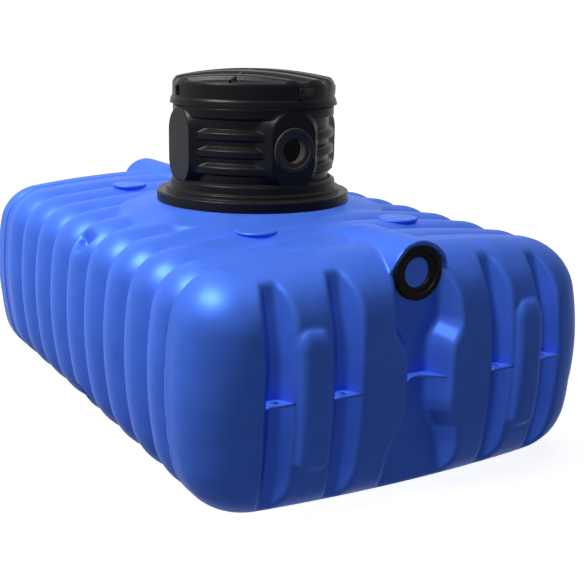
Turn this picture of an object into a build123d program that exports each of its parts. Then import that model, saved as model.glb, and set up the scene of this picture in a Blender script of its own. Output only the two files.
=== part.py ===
"""Underground water tank: ribbed flat shell with two rounded ends, and an access shaft with a lift-off lid.

X runs across the tank, Y along it with the front at -Y, Z up. The origin lies on the ground under the
middle of the manhole. All sizes are millimetres.
"""
from build123d import *
from math import atan2, cos, degrees, radians, sin, sqrt
import os

os.makedirs("parts", exist_ok=True)

# Shell
tank_width = 1650  # over the rib crests
tank_length = 2570  # over the plain end faces, without their finger bosses
crown_height = 869  # rib crests on the centre line
widest_height = 437  # height of the mould's parting line
wall = 8
side_arc_radius = 1400
shoulder_radius = 190
bilge_radius = 235
roof_arc_radius = 5250

# Ribs round the shell
rib_pitch = 210
rib_count = 9
rib_depth = 36

# Rounded ends
face_arc_radius = 4880  # bulge of the end face in plan
plan_corner_radius = 220
end_top_radius = 190
end_bottom_radius = 160

# Upright channels, finger bosses and pierced gussets of the ends
channel_positions = (327, 556)
channel_width = 102
channel_floor_width = 44
channel_depth = 58
finger_position = 441
finger_nose_width = 58
finger_nose_height = 420
finger_nose_radius = 28
finger_middle = 440
finger_projection = 32
finger_taper = 36
gusset_thickness = 8
gusset_hole_radius = 9
gusset_setback = 6

# Waisted centre recess and its pipe seal
recess_setback = 109  # from the end face back to the recess floor
recess_taper = 24
waist_half_width = 62
# Height and half width of the recess floor, down its edge
recess_upper_edge = ((866, 62), (846, 88), (795, 100), (631, 98), (545, waist_half_width))
recess_lower_edge = ((300, waist_half_width), (205, 106), (-60, 128))
web_setback = 42
seal_height = 795
seal_outer_radius = 96
seal_mouth_radius = 68
seal_lip_radius = 51
seal_sleeve_radius = 62
seal_flange = 15
seal_sleeve_depth = 10
seal_fit = 0.3
seal_bevel_share = 0.3  # part of a flange's thickness that its outer bevel takes
seal_lip_share = 0.2  # part of a flange's thickness behind its lip

# Hump over each pipe seal
hump_radius = 113
hump_straight_end = 840
hump_nose_end = 680
hump_nose_radius = 55
hump_front_setback = 62

# Raised saddle under the access shaft
saddle_height = 875
saddle_top_radius = 407
saddle_foot_radius = 520
saddle_foot_height = 780
manhole_radius = 300

# Stacking pads on the roof
pad_x = 315
pad_y = 620
pad_radius = 78
pad_top_height = 874
pad_taper = 20

# Stepped collar at the foot of the shaft
collar_radius = 405
collar_height = 43
collar_step_radius = 367
collar_step_height = 61
collar_top_radius = 346
collar_top_height = 102

# Access shaft
shaft_rib_radius = 336
shaft_groove_radius = 318
shaft_wall = 10
shaft_height = 470
shaft_rib_middles = (157, 224, 292)
shaft_rib_height = 45
shaft_rib_flank = 9
shaft_band_start = 352
shaft_band_end = 396
port_face = 345
port_middle = 237
port_width = 196
port_height = 302
port_taper = 35
port_wall = 8
port_seal_radius = 90
port_seal_mouth = 64
port_seal_lip = 48
port_seal_sleeve = 58
port_seal_flange = 7

# Lid
lid_gap = 5  # between the lid's lip and the shaft's top band
lid_seat_gap = 0.3
lid_lip_radius = 349
lid_lip_height = 29
lid_wall_radius = 338
lid_wall_end = 484
lid_rim_radius = 318
lid_rim_height = 509
lid_crown_height = 542
lid_plate = 18
lid_skirt = 7
trough_pitch = 121
trough_width = 74
trough_depth = 12
trough_heading = -45
trough_places = (-1.5, -0.5, 0.5, 1.5)
trough_ring_radius = 302
lens_chord = 250
lug_angles = (-93, 5, 70, 202)
lug_width = 24
lug_height = 38
lug_reach = 10
lug_base = 440

# What follows from the sizes above
half_width = tank_width / 2
half_length = tank_length / 2
barrel_half = rib_count * rib_pitch / 2
groove_inset = rib_depth + wall
side_centre = (half_width - side_arc_radius, widest_height)
roof_centre = (0, crown_height - roof_arc_radius)
face_centre = half_length - face_arc_radius
recess_floor = half_length - recess_setback
shaft_bore = shaft_groove_radius - shaft_wall
lid_lip_start = shaft_band_end + lid_gap


def meet(centre_a, reach_a, centre_b, reach_b):
    """Outer point that lies reach_a from centre_a and reach_b from centre_b."""
    dx = centre_b[0] - centre_a[0]
    dz = centre_b[1] - centre_a[1]
    apart = sqrt(dx * dx + dz * dz)
    along = (reach_a**2 - reach_b**2 + apart**2) / (2 * apart)
    across = sqrt(reach_a**2 - along**2)
    side = 1 if dz < 0 else -1
    x = centre_a[0] + (along * dx - side * across * dz) / apart
    z = centre_a[1] + (along * dz + side * across * dx) / apart
    return (x, z)


def heading(start, end):
    """Angle of the line from start to end, in degrees above the X axis."""
    return degrees(atan2(end[1] - start[1], end[0] - start[0]))


side_reach = side_arc_radius - shoulder_radius
roof_reach = roof_arc_radius - shoulder_radius
shoulder_centre = meet(side_centre, side_reach, roof_centre, roof_reach)
bilge_rise = bilge_radius - widest_height
bilge_x = side_centre[0] + sqrt((side_arc_radius - bilge_radius) ** 2 - bilge_rise**2)
bilge_centre = (bilge_x, bilge_radius)
roof_end_angle = heading(roof_centre, shoulder_centre)
side_top_angle = heading(side_centre, shoulder_centre)
side_bottom_angle = heading(side_centre, bilge_centre)
floor_angle = -90

# Arcs of half the cross-section, from the crown down to the floor: centre, radius, first and last angle
section_arcs = (
    (roof_centre, roof_arc_radius, 90, roof_end_angle),
    (shoulder_centre, shoulder_radius, roof_end_angle, side_top_angle),
    (side_centre, side_arc_radius, side_top_angle, side_bottom_angle),
    (bilge_centre, bilge_radius, side_bottom_angle, floor_angle),
)


def save(piece, name):
    """Label a finished piece and write it."""
    piece.part.label = name
    export_step(piece.part, f"parts/{name}.step")


def polar(centre, radius, angle):
    """Point on a circle."""
    return (centre[0] + radius * cos(radians(angle)), centre[1] + radius * sin(radians(angle)))


def rib_section(plane, crest, thickness):
    """Wall section along the tank: local X along the row of ribs, local Y outwards."""
    low = crest - rib_depth
    with BuildSketch(plane) as section:
        with BuildLine():
            for level in (0, -thickness):
                for index in range(rib_count):
                    start = index * rib_pitch - barrel_half
                    ThreePointArc(
                        (start, low + level),
                        (start + rib_pitch / 2, crest + level),
                        (start + rib_pitch, low + level),
                    )
            Line((-barrel_half, low), (-barrel_half, low - thickness))
            Line((barrel_half, low), (barrel_half, low - thickness))
        make_face()
    return section.sketch


def ribbed_panel(centre, radius, first_angle, last_angle, thickness=wall):
    """Ribbed wall bent round an axis along Y."""
    across = cos(radians(first_angle))
    up = sin(radians(first_angle))
    start_plane = Plane(origin=(centre[0], 0, centre[1]), x_dir=(0, 1, 0), z_dir=(up, 0, -across))
    section = rib_section(start_plane, radius, thickness)
    with BuildPart() as panel:
        revolve(section, Axis((centre[0], 0, centre[1]), (0, 1, 0)), first_angle - last_angle)
    return panel


def mirrored(piece, plane):
    """Mirror image of a piece, as a part of its own."""
    with BuildPart() as image:
        mirror(piece.part, about=plane, mode=Mode.ADD)
    return image


def shell_section(distance, inset):
    """Closed cross-section of the shell, inset from its crests, at a distance towards the front."""
    with BuildSketch(Plane.XZ.offset(distance)) as section:
        with BuildLine():
            for side in (1, -1):
                for centre, radius, first, last in section_arcs:
                    angles = (first, (first + last) / 2, last)
                    points = [polar(centre, radius - inset, angle) for angle in angles]
                    ThreePointArc(*[(side * x, z) for x, z in points])
            Line((bilge_centre[0], inset), (-bilge_centre[0], inset))
        make_face()
    return section.sketch


def end_side_section(inset):
    """Side view of the front end, drawn beside it: local X towards the front, local Y up."""
    side_plane = Plane(origin=(half_width, 0, 0), x_dir=(0, -1, 0), z_dir=(-1, 0, 0))
    bulge_centre = (half_length - side_arc_radius, widest_height)
    top_rise = crown_height - end_top_radius - widest_height
    low_rise = end_bottom_radius - widest_height
    top_y = sqrt((side_arc_radius - end_top_radius) ** 2 - top_rise**2)
    low_y = sqrt((side_arc_radius - end_bottom_radius) ** 2 - low_rise**2)
    top_centre = (bulge_centre[0] + top_y, crown_height - end_top_radius)
    low_centre = (bulge_centre[0] + low_y, end_bottom_radius)
    top_angle = heading(bulge_centre, top_centre)
    low_angle = heading(bulge_centre, low_centre)
    arcs = (
        (top_centre, end_top_radius - inset, 90, top_angle),
        (bulge_centre, side_arc_radius - inset, top_angle, low_angle),
        (low_centre, end_bottom_radius - inset, low_angle, floor_angle),
    )
    inner_end = barrel_half - rib_pitch
    with BuildSketch(side_plane) as section:
        with BuildLine():
            for centre, radius, first, last in arcs:
                angles = (first, (first + last) / 2, last)
                ThreePointArc(*[polar(centre, radius, angle) for angle in angles])
            Line((low_centre[0], inset), (inner_end, inset))
            Line((inner_end, inset), (inner_end, crown_height - inset))
            Line((inner_end, crown_height - inset), (top_centre[0], crown_height - inset))
        make_face()
    return section.sketch


def end_plan_section(inset):
    """Plan of the front end: local X across the tank, local Y towards the front."""
    plan_plane = Plane(origin=(0, 0, crown_height), x_dir=(1, 0, 0), z_dir=(0, 0, -1))
    corner_x = half_width - plan_corner_radius
    corner_y = face_centre + sqrt((face_arc_radius - plan_corner_radius) ** 2 - corner_x**2)
    face_angle = heading((0, face_centre), (corner_x, corner_y))
    inner_end = barrel_half - rib_pitch
    corner_angles = (0, face_angle / 2, face_angle)
    corner = [polar((corner_x, corner_y), plan_corner_radius - inset, angle) for angle in corner_angles]
    face = [polar((0, face_centre), face_arc_radius - inset, angle) for angle in (face_angle, 90)]
    with BuildSketch(plan_plane) as section:
        with BuildLine():
            for side in (1, -1):
                ThreePointArc(*[(side * x, y) for x, y in corner])
                Line((side * corner[0][0], corner[0][1]), (side * corner[0][0], inner_end))
            ThreePointArc(face[0], face[1], (-face[0][0], face[0][1]))
            Line((half_width - inset, inner_end), (inset - half_width, inner_end))
        make_face()
    return section.sketch


def end_block(inset, start):
    """Solid rounded end, from the given distance along the tank to its face."""
    with BuildPart() as block:
        extrude(shell_section(start, inset), half_length - start)
        extrude(end_side_section(inset), tank_width, mode=Mode.INTERSECT)
        extrude(end_plan_section(inset), crown_height, mode=Mode.INTERSECT)
    return block


def face_reach(x):
    """Distance of the end face from the tank's middle, at x across it."""
    return face_centre + sqrt(face_arc_radius**2 - x**2)


def channel_section(x, extra, height):
    """Plan of one upright channel at a height, widened by extra on its sides and floor."""
    reach = face_reach(x)
    slope = (channel_width - channel_floor_width) / 2 / channel_depth
    floor_half = channel_floor_width / 2 + extra
    floor_y = reach - channel_depth - extra
    mouth_y = reach + channel_depth
    mouth_half = floor_half + slope * (mouth_y - floor_y)
    with BuildSketch(Plane.XY.offset(height)) as section:
        with BuildLine():
            Polyline(
                (x - floor_half, -floor_y),
                (x + floor_half, -floor_y),
                (x + mouth_half, -mouth_y),
                (x - mouth_half, -mouth_y),
                close=True,
            )
        make_face()
    return section.sketch


def recess_section(extra):
    """Front view of the recess floor, widened and set back by extra."""
    right = [(width + extra, height) for height, width in recess_upper_edge + recess_lower_edge]
    left = [(-x, z) for x, z in reversed(right)]
    with BuildSketch(Plane.XZ.offset(recess_floor - extra)) as section:
        with BuildLine():
            Polyline(*right, *left, close=True)
        make_face()
    return section.sketch


def face_cuts(extra):
    """Channels and centre recess of the front end, as a solid to cut away."""
    with BuildPart() as cuts:
        for x in channel_positions:
            extrude(channel_section(x, extra, 0), crown_height)
            extrude(channel_section(-x, extra, 0), crown_height)
        extrude(recess_section(extra), recess_setback + extra + finger_projection, taper=-recess_taper)
    return cuts


def hump_turn(radius, front):
    """Round form of the hump, turned about the pipe seal's axis."""
    with BuildPart() as hump:
        with BuildSketch(Plane.YZ):
            with BuildLine():
                Polyline(
                    (-front, seal_height),
                    (-front, seal_height + radius),
                    (-hump_straight_end, seal_height + radius),
                    (-hump_nose_end, seal_height + radius + hump_nose_radius - hump_radius),
                    (-hump_nose_end, seal_height),
                    close=True,
                )
            make_face()
        revolve(axis=Axis((0, 0, seal_height), (0, 1, 0)))
    return hump


# Shell panels between the ends
section_right = [ribbed_panel(*arc) for arc in section_arcs]
right_roof_panel, right_shoulder, right_wall, right_bilge = section_right
save(right_shoulder, "right_shoulder")
save(right_wall, "right_wall")
save(right_bilge, "right_bilge")
save(mirrored(right_shoulder, Plane.YZ), "left_shoulder")
save(mirrored(right_wall, Plane.YZ), "left_wall")
save(mirrored(right_bilge, Plane.YZ), "left_bilge")

floor_plane = Plane(origin=(0, 0, 0), x_dir=(0, 1, 0), z_dir=(-1, 0, 0))
with BuildPart() as floor:
    extrude(rib_section(floor_plane, 0, wall), bilge_centre[0], both=True)
save(floor, "floor")

# Saddle that carries the shaft: the cone's filled form cuts the roof, and its skin is the piece
with BuildPart() as saddle_form:
    with BuildSketch(Plane.XZ):
        with BuildLine():
            Polyline(
                (0, 0),
                (saddle_foot_radius, 0),
                (saddle_foot_radius, saddle_foot_height),
                (saddle_top_radius, saddle_height),
                (0, saddle_height),
                close=True,
            )
        make_face()
    revolve(axis=Axis.Z)

with BuildPart() as neck_saddle:
    with BuildSketch(Plane.XZ):
        with BuildLine():
            Polyline(
                (manhole_radius, saddle_height),
                (saddle_top_radius, saddle_height),
                (saddle_foot_radius, saddle_foot_height),
                (saddle_foot_radius - wall, saddle_foot_height - wall / 2),
                (saddle_top_radius - wall / 2, saddle_height - wall),
                (manhole_radius, saddle_height - wall),
                close=True,
            )
        make_face()
    revolve(axis=Axis.Z)
save(neck_saddle, "neck_saddle")

# Humps over the pipe seals: their filled form cuts the roof and the ends
hump_front = half_length - hump_front_setback
hump_hollow = hump_turn(hump_radius - wall, recess_floor - wall)
with BuildPart() as hump_form:
    add(hump_turn(hump_radius, hump_front).part)
    with Locations((0, -tank_length / 2, seal_height - hump_radius)):
        Box(2 * hump_radius, tank_length, 2 * hump_radius, mode=Mode.SUBTRACT)
with BuildPart() as sleeve_bore:
    with BuildSketch(Plane.XZ.offset(recess_floor - 2 * wall)):
        with Locations((0, seal_height)):
            Circle(seal_sleeve_radius + seal_fit)
    extrude(amount=3 * wall)

# Roof halves, cut by the saddle and by both humps
with BuildPart() as right_roof:
    add(right_roof_panel.part)
    add(saddle_form.part, mode=Mode.SUBTRACT)
    add(hump_form.part, mode=Mode.SUBTRACT)
    add(mirrored(hump_form, Plane.XZ).part, mode=Mode.SUBTRACT)
save(right_roof, "right_roof")
save(mirrored(right_roof, Plane.YZ), "left_roof")

# Front end: outer block with its channels, recess and fingers, less the hollow
with BuildPart() as fingers:
    nose_plane = Plane.XZ.offset(face_reach(finger_position) + finger_projection)
    with BuildSketch(nose_plane):
        with Locations((finger_position, finger_middle), (-finger_position, finger_middle)):
            RectangleRounded(finger_nose_width, finger_nose_height, finger_nose_radius)
    extrude(amount=-2 * finger_projection, taper=-finger_taper)

front_block = end_block(0, barrel_half)
front_hollow = end_block(wall, barrel_half + wall)
outer_cuts = face_cuts(0)
inner_cuts = face_cuts(wall)

with BuildPart() as front_cavity:
    add(front_hollow.part)
    add(inner_cuts.part, mode=Mode.SUBTRACT)

with BuildPart() as front_end:
    add(front_block.part)
    add(outer_cuts.part, mode=Mode.SUBTRACT)
    add(fingers.part)
    add(front_cavity.part, mode=Mode.SUBTRACT)
    extrude(shell_section(barrel_half, groove_inset), wall, mode=Mode.SUBTRACT)
    add(hump_form.part, mode=Mode.SUBTRACT)
    add(sleeve_bore.part, mode=Mode.SUBTRACT)
save(front_end, "front_end")
save(mirrored(front_end, Plane.XZ), "rear_end")

# Front hump: the skin over the pipe seal, with the upper half of the seal's plate across it
with BuildPart() as front_hump:
    add(hump_form.part)
    add(hump_hollow.part, mode=Mode.SUBTRACT)
    with BuildSketch(Plane.XZ.offset(recess_floor)):
        with Locations((0, seal_height)):
            Circle(hump_radius - wall)
    extrude(amount=hump_radius, mode=Mode.SUBTRACT)
    add(sleeve_bore.part, mode=Mode.SUBTRACT)
save(front_hump, "front_hump")
save(mirrored(front_hump, Plane.XZ), "rear_hump")

# Gussets across the channels, and the plain web across the recess
with BuildPart() as front_gussets:
    for x in channel_positions:
        for side in (1, -1):
            gusset_reach = face_reach(x) - gusset_setback
            inner_reach = gusset_reach - channel_depth
            extrude(channel_section(side * x, 0, widest_height - gusset_thickness / 2), gusset_thickness)
            with Locations((side * x, -gusset_reach - channel_depth, widest_height)):
                Box(3 * channel_width, 2 * channel_depth, 2 * gusset_thickness, mode=Mode.SUBTRACT)
            with Locations((side * x, -(inner_reach + channel_depth / 2), widest_height)):
                Cylinder(gusset_hole_radius, 2 * gusset_thickness, mode=Mode.SUBTRACT)
    with BuildSketch(Plane.XZ.offset(recess_floor)):
        with Locations((0, widest_height)):
            Rectangle(2 * waist_half_width, gusset_thickness)
    extrude(amount=recess_setback - web_setback)
    add(fingers.part, mode=Mode.SUBTRACT)
save(front_gussets, "front_gussets")
save(mirrored(front_gussets, Plane.XZ), "rear_gussets")


def lip_seal(outer, mouth, lip, sleeve, flange, depth, face, height):
    """Rubber lip seal turned about an axis along Y, its flange lying on the given face."""
    bevel = flange * seal_bevel_share
    with BuildPart() as seal:
        with BuildSketch(Plane.YZ):
            with BuildLine():
                Polyline(
                    (-face, height + outer),
                    (-face - flange + bevel, height + outer),
                    (-face - flange, height + outer - bevel),
                    (-face - flange, height + mouth),
                    (-face - flange * seal_lip_share, height + lip),
                    (-face + depth, height + lip),
                    (-face + depth, height + sleeve),
                    (-face, height + sleeve),
                    close=True,
                )
            make_face()
        revolve(axis=Axis((0, 0, height), (0, 1, 0)))
    return seal


front_pipe_seal = lip_seal(
    seal_outer_radius,
    seal_mouth_radius,
    seal_lip_radius,
    seal_sleeve_radius,
    seal_flange,
    seal_sleeve_depth,
    recess_floor,
    seal_height,
)
save(front_pipe_seal, "front_pipe_seal")
save(mirrored(front_pipe_seal, Plane.XZ), "rear_pipe_seal")

# Stacking pads, cut to lie on the ribs of the roof
roof_form = ribbed_panel(roof_centre, roof_arc_radius, 90, roof_end_angle, pad_radius)
with BuildPart() as right_pads:
    with BuildSketch(Plane.XY.offset(pad_top_height)):
        with Locations((pad_x, pad_y), (pad_x, -pad_y)):
            Circle(pad_radius)
    extrude(amount=-rib_depth - wall, taper=-pad_taper)
    add(roof_form.part, mode=Mode.SUBTRACT)
with BuildPart() as stacking_pads:
    add(right_pads.part)
    mirror(right_pads.part, about=Plane.YZ)
save(stacking_pads, "stacking_pads")

# Stepped collar, standing on the saddle round the shaft
with BuildPart() as shaft_collar:
    with BuildSketch(Plane.XZ):
        with BuildLine():
            Polyline(
                (shaft_bore, saddle_height),
                (collar_radius, saddle_height),
                (collar_radius, saddle_height + collar_height),
                (collar_step_radius, saddle_height + collar_height),
                (collar_step_radius, saddle_height + collar_step_height),
                (collar_top_radius, saddle_height + collar_step_height),
                (collar_top_radius, saddle_height + collar_top_height - shaft_rib_flank),
                (collar_top_radius - shaft_rib_flank, saddle_height + collar_top_height),
                (shaft_bore, saddle_height + collar_top_height),
                close=True,
            )
        make_face()
    revolve(axis=Axis.Z)


def port_block(inset, depth):
    """Filled front port, flaring from its flat face to the shaft."""
    with BuildPart() as block:
        with BuildSketch(Plane.XZ.offset(port_face - inset)):
            with Locations((0, saddle_height + port_middle)):
                SlotOverall(port_height - 2 * inset, port_width - 2 * inset, rotation=90)
        extrude(amount=-depth, taper=-port_taper)
    return block


port_outer = port_block(0, port_face - shaft_bore + shaft_wall)
port_inner = port_block(port_wall, port_face - shaft_bore + shaft_wall)

# Shaft wall with its ribs, a quarter of it between the middles of two ports
with BuildPart() as shaft_quarter:
    with BuildSketch(Plane.XZ):
        with BuildLine():
            profile = [(shaft_bore, saddle_height + collar_top_height)]
            profile.append((shaft_groove_radius, saddle_height + collar_top_height))
            for middle in shaft_rib_middles:
                low = saddle_height + middle - shaft_rib_height / 2
                high = saddle_height + middle + shaft_rib_height / 2
                profile.append((shaft_groove_radius, low))
                profile.append((shaft_rib_radius, low + shaft_rib_flank))
                profile.append((shaft_rib_radius, high - shaft_rib_flank))
                profile.append((shaft_groove_radius, high))
            profile.append((shaft_groove_radius, saddle_height + shaft_band_start))
            profile.append((shaft_rib_radius, saddle_height + shaft_band_start + shaft_rib_flank))
            profile.append((shaft_rib_radius, saddle_height + shaft_band_end))
            profile.append((shaft_groove_radius, saddle_height + shaft_band_end))
            profile.append((shaft_groove_radius, saddle_height + shaft_height))
            profile.append((shaft_bore, saddle_height + shaft_height))
            Polyline(*profile, close=True)
        make_face()
    revolve(axis=Axis.Z, revolution_arc=-90)
    add(port_outer.part, mode=Mode.SUBTRACT)
    add(port_outer.part.rotate(Axis.Z, 90), mode=Mode.SUBTRACT)

quarter_turns = {
    "shaft_front_right": 0,
    "shaft_rear_right": 90,
    "shaft_rear_left": 180,
    "shaft_front_left": 270,
}
for name, turn in quarter_turns.items():
    with BuildPart() as quarter:
        add(shaft_quarter.part.rotate(Axis.Z, turn))
    save(quarter, name)

# Ports: hollow bosses, the front one bored for its seal
with BuildPart() as bore_column:
    with BuildSketch(Plane.XY.offset(saddle_height)):
        Circle(shaft_bore)
    extrude(amount=shaft_height)

with BuildPart() as blank_port:
    add(port_outer.part)
    add(port_inner.part, mode=Mode.SUBTRACT)
    add(bore_column.part, mode=Mode.SUBTRACT)
    add(shaft_collar.part, mode=Mode.SUBTRACT)

with BuildPart() as front_port:
    add(blank_port.part)
    with BuildSketch(Plane.XZ.offset(shaft_bore - shaft_wall)):
        with Locations((0, saddle_height + port_middle)):
            Circle(port_seal_sleeve + seal_fit)
    extrude(amount=port_face, mode=Mode.SUBTRACT)
save(front_port, "front_port")

for name, turn in {"right_port": 90, "rear_port": 180, "left_port": 270}.items():
    with BuildPart() as port:
        add(blank_port.part.rotate(Axis.Z, turn))
    save(port, name)
save(shaft_collar, "shaft_collar")

front_port_seal = lip_seal(
    port_seal_radius,
    port_seal_mouth,
    port_seal_lip,
    port_seal_sleeve,
    port_seal_flange,
    seal_sleeve_depth,
    port_face,
    saddle_height + port_middle,
)
save(front_port_seal, "front_port_seal")

# Lid: flared lip, upright wall and a domed plate with parallel troughs, resting on the shaft's rim
dome_rise = lid_crown_height - lid_rim_height
dome_radius = (lid_rim_radius**2 + dome_rise**2) / (2 * dome_rise)
dome_centre = (0, saddle_height + lid_crown_height - dome_radius)
dome_edge_angle = degrees(atan2(dome_radius - dome_rise, lid_rim_radius))
dome_angles = (90, (90 + dome_edge_angle) / 2, dome_edge_angle)
dome_top = [polar(dome_centre, dome_radius, angle) for angle in dome_angles]
dome_under = [polar(dome_centre, dome_radius - lid_plate, angle) for angle in dome_angles]
dome_cut = [polar(dome_centre, dome_radius - trough_depth, angle) for angle in dome_angles]
lid_inner = lid_wall_radius - lid_skirt
lid_seat = saddle_height + shaft_height + lid_seat_gap

with BuildPart() as trough_form:
    with BuildSketch(Plane.XZ):
        with BuildLine():
            ThreePointArc(*dome_cut)
            Polyline(dome_cut[2], (dome_cut[2][0], 2 * lid_seat), (0, 2 * lid_seat), dome_cut[0])
        make_face()
    revolve(axis=Axis.Z)
    with BuildSketch(Plane.XY.offset(saddle_height)):
        Circle(trough_ring_radius)
        with BuildSketch(mode=Mode.INTERSECT):
            with Locations(*[(0, place * trough_pitch) for place in trough_places]):
                Rectangle(2 * lid_rim_radius, trough_width)
            with Locations((0, lens_chord + trough_pitch), (0, -lens_chord - trough_pitch)):
                Rectangle(2 * lid_rim_radius, 2 * trough_pitch)
    extrude(amount=saddle_height, mode=Mode.INTERSECT)

with BuildPart() as lid:
    with BuildSketch(Plane.XZ):
        with BuildLine():
            ThreePointArc(*dome_top)
            Polyline(
                dome_top[2],
                (lid_wall_radius, saddle_height + lid_wall_end),
                (lid_wall_radius, saddle_height + lid_lip_start + lid_lip_height),
                (lid_lip_radius, saddle_height + lid_lip_start),
                (lid_lip_radius - lid_skirt, saddle_height + lid_lip_start),
                (lid_inner, saddle_height + lid_lip_start + lid_lip_height),
                (lid_inner, lid_seat),
                (shaft_bore, lid_seat),
                dome_under[2],
            )
            ThreePointArc(*dome_under)
            Line(dome_under[0], dome_top[0])
        make_face()
    revolve(axis=Axis.Z)
    add(trough_form.part.rotate(Axis.Z, trough_heading), mode=Mode.SUBTRACT)
save(lid, "lid")

with BuildPart() as lid_lugs:
    for angle in lug_angles:
        away = (sin(radians(angle)), -cos(radians(angle)), 0)
        lug_plane = Plane(origin=(0, 0, saddle_height + lug_base), x_dir=away, z_dir=(0, 0, 1))
        with BuildSketch(lug_plane):
            with Locations((lid_wall_radius + lug_reach / 2, 0)):
                Rectangle(lug_reach, lug_width)
        extrude(amount=lug_height)
save(lid_lugs, "lid_lugs")
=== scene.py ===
"""Underground water tank: looks of the ribbed blue shell, its black access shaft and the lift-off lid.

X runs across the tank, Y along it with the front at -Y, Z up. Shapes are worked out in millimetres and
written in metres. The shell is one moulding, so its pieces are parts of one surface.
"""

from math import asin, atan2, cos, pi, radians, sin, sqrt

import bmesh
import bpy
import numpy as np
from mathutils import Matrix, Vector


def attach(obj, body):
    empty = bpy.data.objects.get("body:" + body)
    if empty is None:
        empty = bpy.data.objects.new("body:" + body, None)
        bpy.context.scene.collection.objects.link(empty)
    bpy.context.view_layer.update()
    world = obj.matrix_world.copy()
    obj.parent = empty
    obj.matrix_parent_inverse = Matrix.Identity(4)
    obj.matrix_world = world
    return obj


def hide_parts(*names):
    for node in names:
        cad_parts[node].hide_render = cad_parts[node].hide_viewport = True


bl_info = {
    "name": "Underground water tank",
    "version": (1, 0, 0),
    "blender": (4, 5, 0),
    "location": "3D View > Sidebar > Water Tank",
    "description": "Builds the ribbed shell, the access shaft, the lid and the seals of a flat underground tank",
    "category": "Object",
}

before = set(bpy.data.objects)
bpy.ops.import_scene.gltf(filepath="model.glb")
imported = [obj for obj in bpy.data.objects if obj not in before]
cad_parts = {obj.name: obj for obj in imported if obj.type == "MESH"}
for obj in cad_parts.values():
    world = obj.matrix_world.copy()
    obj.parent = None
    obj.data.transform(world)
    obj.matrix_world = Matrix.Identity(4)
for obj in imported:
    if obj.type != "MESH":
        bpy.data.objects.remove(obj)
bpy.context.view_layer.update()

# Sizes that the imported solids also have
HALF_WIDTH = 825
HALF_LENGTH = 1285
CROWN = 869
WIDEST = 437
WALL = 8
SIDE_ARC = 1400
SHOULDER_ARC = 190
BILGE_ARC = 235
ROOF_ARC = 5250
RIB_PITCH = 210
RIB_COUNT = 9
RIB_DEPTH = 36
RIB_ARC = ((RIB_PITCH / 2) ** 2 + RIB_DEPTH**2) / (2 * RIB_DEPTH)
BARREL_HALF = RIB_COUNT * RIB_PITCH / 2
FACE_ARC = 4880
FACE_CENTRE = HALF_LENGTH - FACE_ARC
RECESS_FLOOR = 1176
SEAL_HEIGHT = 795
SADDLE = 875
MANHOLE = 300
FINGER_PLACE = 441
PAD_PLACES = ((-315, -620), (315, -620), (315, 620), (-315, 620))
SHAFT_BORE = 308
PORT_FACE = 345
PORT_MIDDLE = 237
LID_SEAT = 470.3
LID_CROWN = 542
LID_RIM = (318, 509)
TROUGH_PLACES = (-181.5, -60.5, 60.5, 181.5)
LUG_ANGLES = (-93, 5, 70, 202)  # from the front towards the right
DOME_RISE = LID_CROWN - LID_RIM[1]
DOME_ARC = (LID_RIM[0] ** 2 + DOME_RISE**2) / (2 * DOME_RISE)

# What only the visual shell has
THICK = 18  # wall of the two ends
BLEND = 8  # rounding where a rib meets an end
END_EDGE = 7  # rounding of an end's edge beside the last groove
CHANNELS = ((322, 10), (561, 19))  # place of each channel and how far its top leans inwards
CHANNEL_FLOOR = 22  # half width of a channel's floor
DEEPER_TOP = 24  # what the tops of the channels add to their depth
FINGER_ARC = 44  # roundness of the fingers' shoulders
FINGER_TOP = 606  # where the ramp over a finger starts
FINGER_FOOT = 236
HUMP_RADIUS = 119
HUMP_NOSE = 703  # how far the point of a hump lies from the shaft's axis
HOOD_FRONT = 1206
SEAL_HOLE = 62
SADDLE_FLAT = 407  # radius at which the saddle starts to fall
SADDLE_STEEP = 550  # radius at which it falls steeply
POCKETS = ((775, 62), (117, 42))  # height and radius of the dents in the middle rib
RECESS_FLARE = 0.455  # how much the recess widens towards the front
RECESS_GRID = 2.5  # spacing of the table of the recess
RECESS_LOW = -150  # lowest row of that table
RECESS_SMOOTHING = 34  # rounds that soften its corners
WEB_BACK = 1171  # the recess's web runs from here to its hollow front
WEB_FRONT = 1207
WEB_HOLLOW = 52
WAIST = 52  # half width of the recess floor at the web
WEB_STEPS = 33
GUSSET_HOLE = 9.0
SHAFT_GROOVE = 315
PORT_HOLE = 57
PORT_RADIUS = 98
PORT_STRAIGHT = 53  # half height of the upright sides of a port
LID_THICK = 24
ROW_STEPS = 20  # rows of faces on one rib
END_STEP = 9.0  # spacing of the surface of an end


def meet(centre_a, reach_a, centre_b, reach_b):
    """Outer point that lies reach_a from centre_a and reach_b from centre_b."""
    dx = centre_b[0] - centre_a[0]
    dz = centre_b[1] - centre_a[1]
    apart = sqrt(dx * dx + dz * dz)
    along = (reach_a**2 - reach_b**2 + apart**2) / (2 * apart)
    across = sqrt(reach_a**2 - along**2)
    side = 1 if dz < 0 else -1
    return (
        centre_a[0] + (along * dx - side * across * dz) / apart,
        centre_a[1] + (along * dz + side * across * dx) / apart,
    )


SIDE = (HALF_WIDTH - SIDE_ARC, WIDEST)
ROOF = (0, CROWN - ROOF_ARC)
SHOULDER = meet(SIDE, SIDE_ARC - SHOULDER_ARC, ROOF, ROOF_ARC - SHOULDER_ARC)
BILGE = (SIDE[0] + sqrt((SIDE_ARC - BILGE_ARC) ** 2 - (BILGE_ARC - WIDEST) ** 2), BILGE_ARC)
ROOF_END = atan2(SHOULDER[1] - ROOF[1], SHOULDER[0] - ROOF[0])
SIDE_TOP = atan2(SHOULDER[1] - SIDE[1], SHOULDER[0] - SIDE[0])
SIDE_BOTTOM = atan2(BILGE[1] - SIDE[1], BILGE[0] - SIDE[0])

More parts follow.
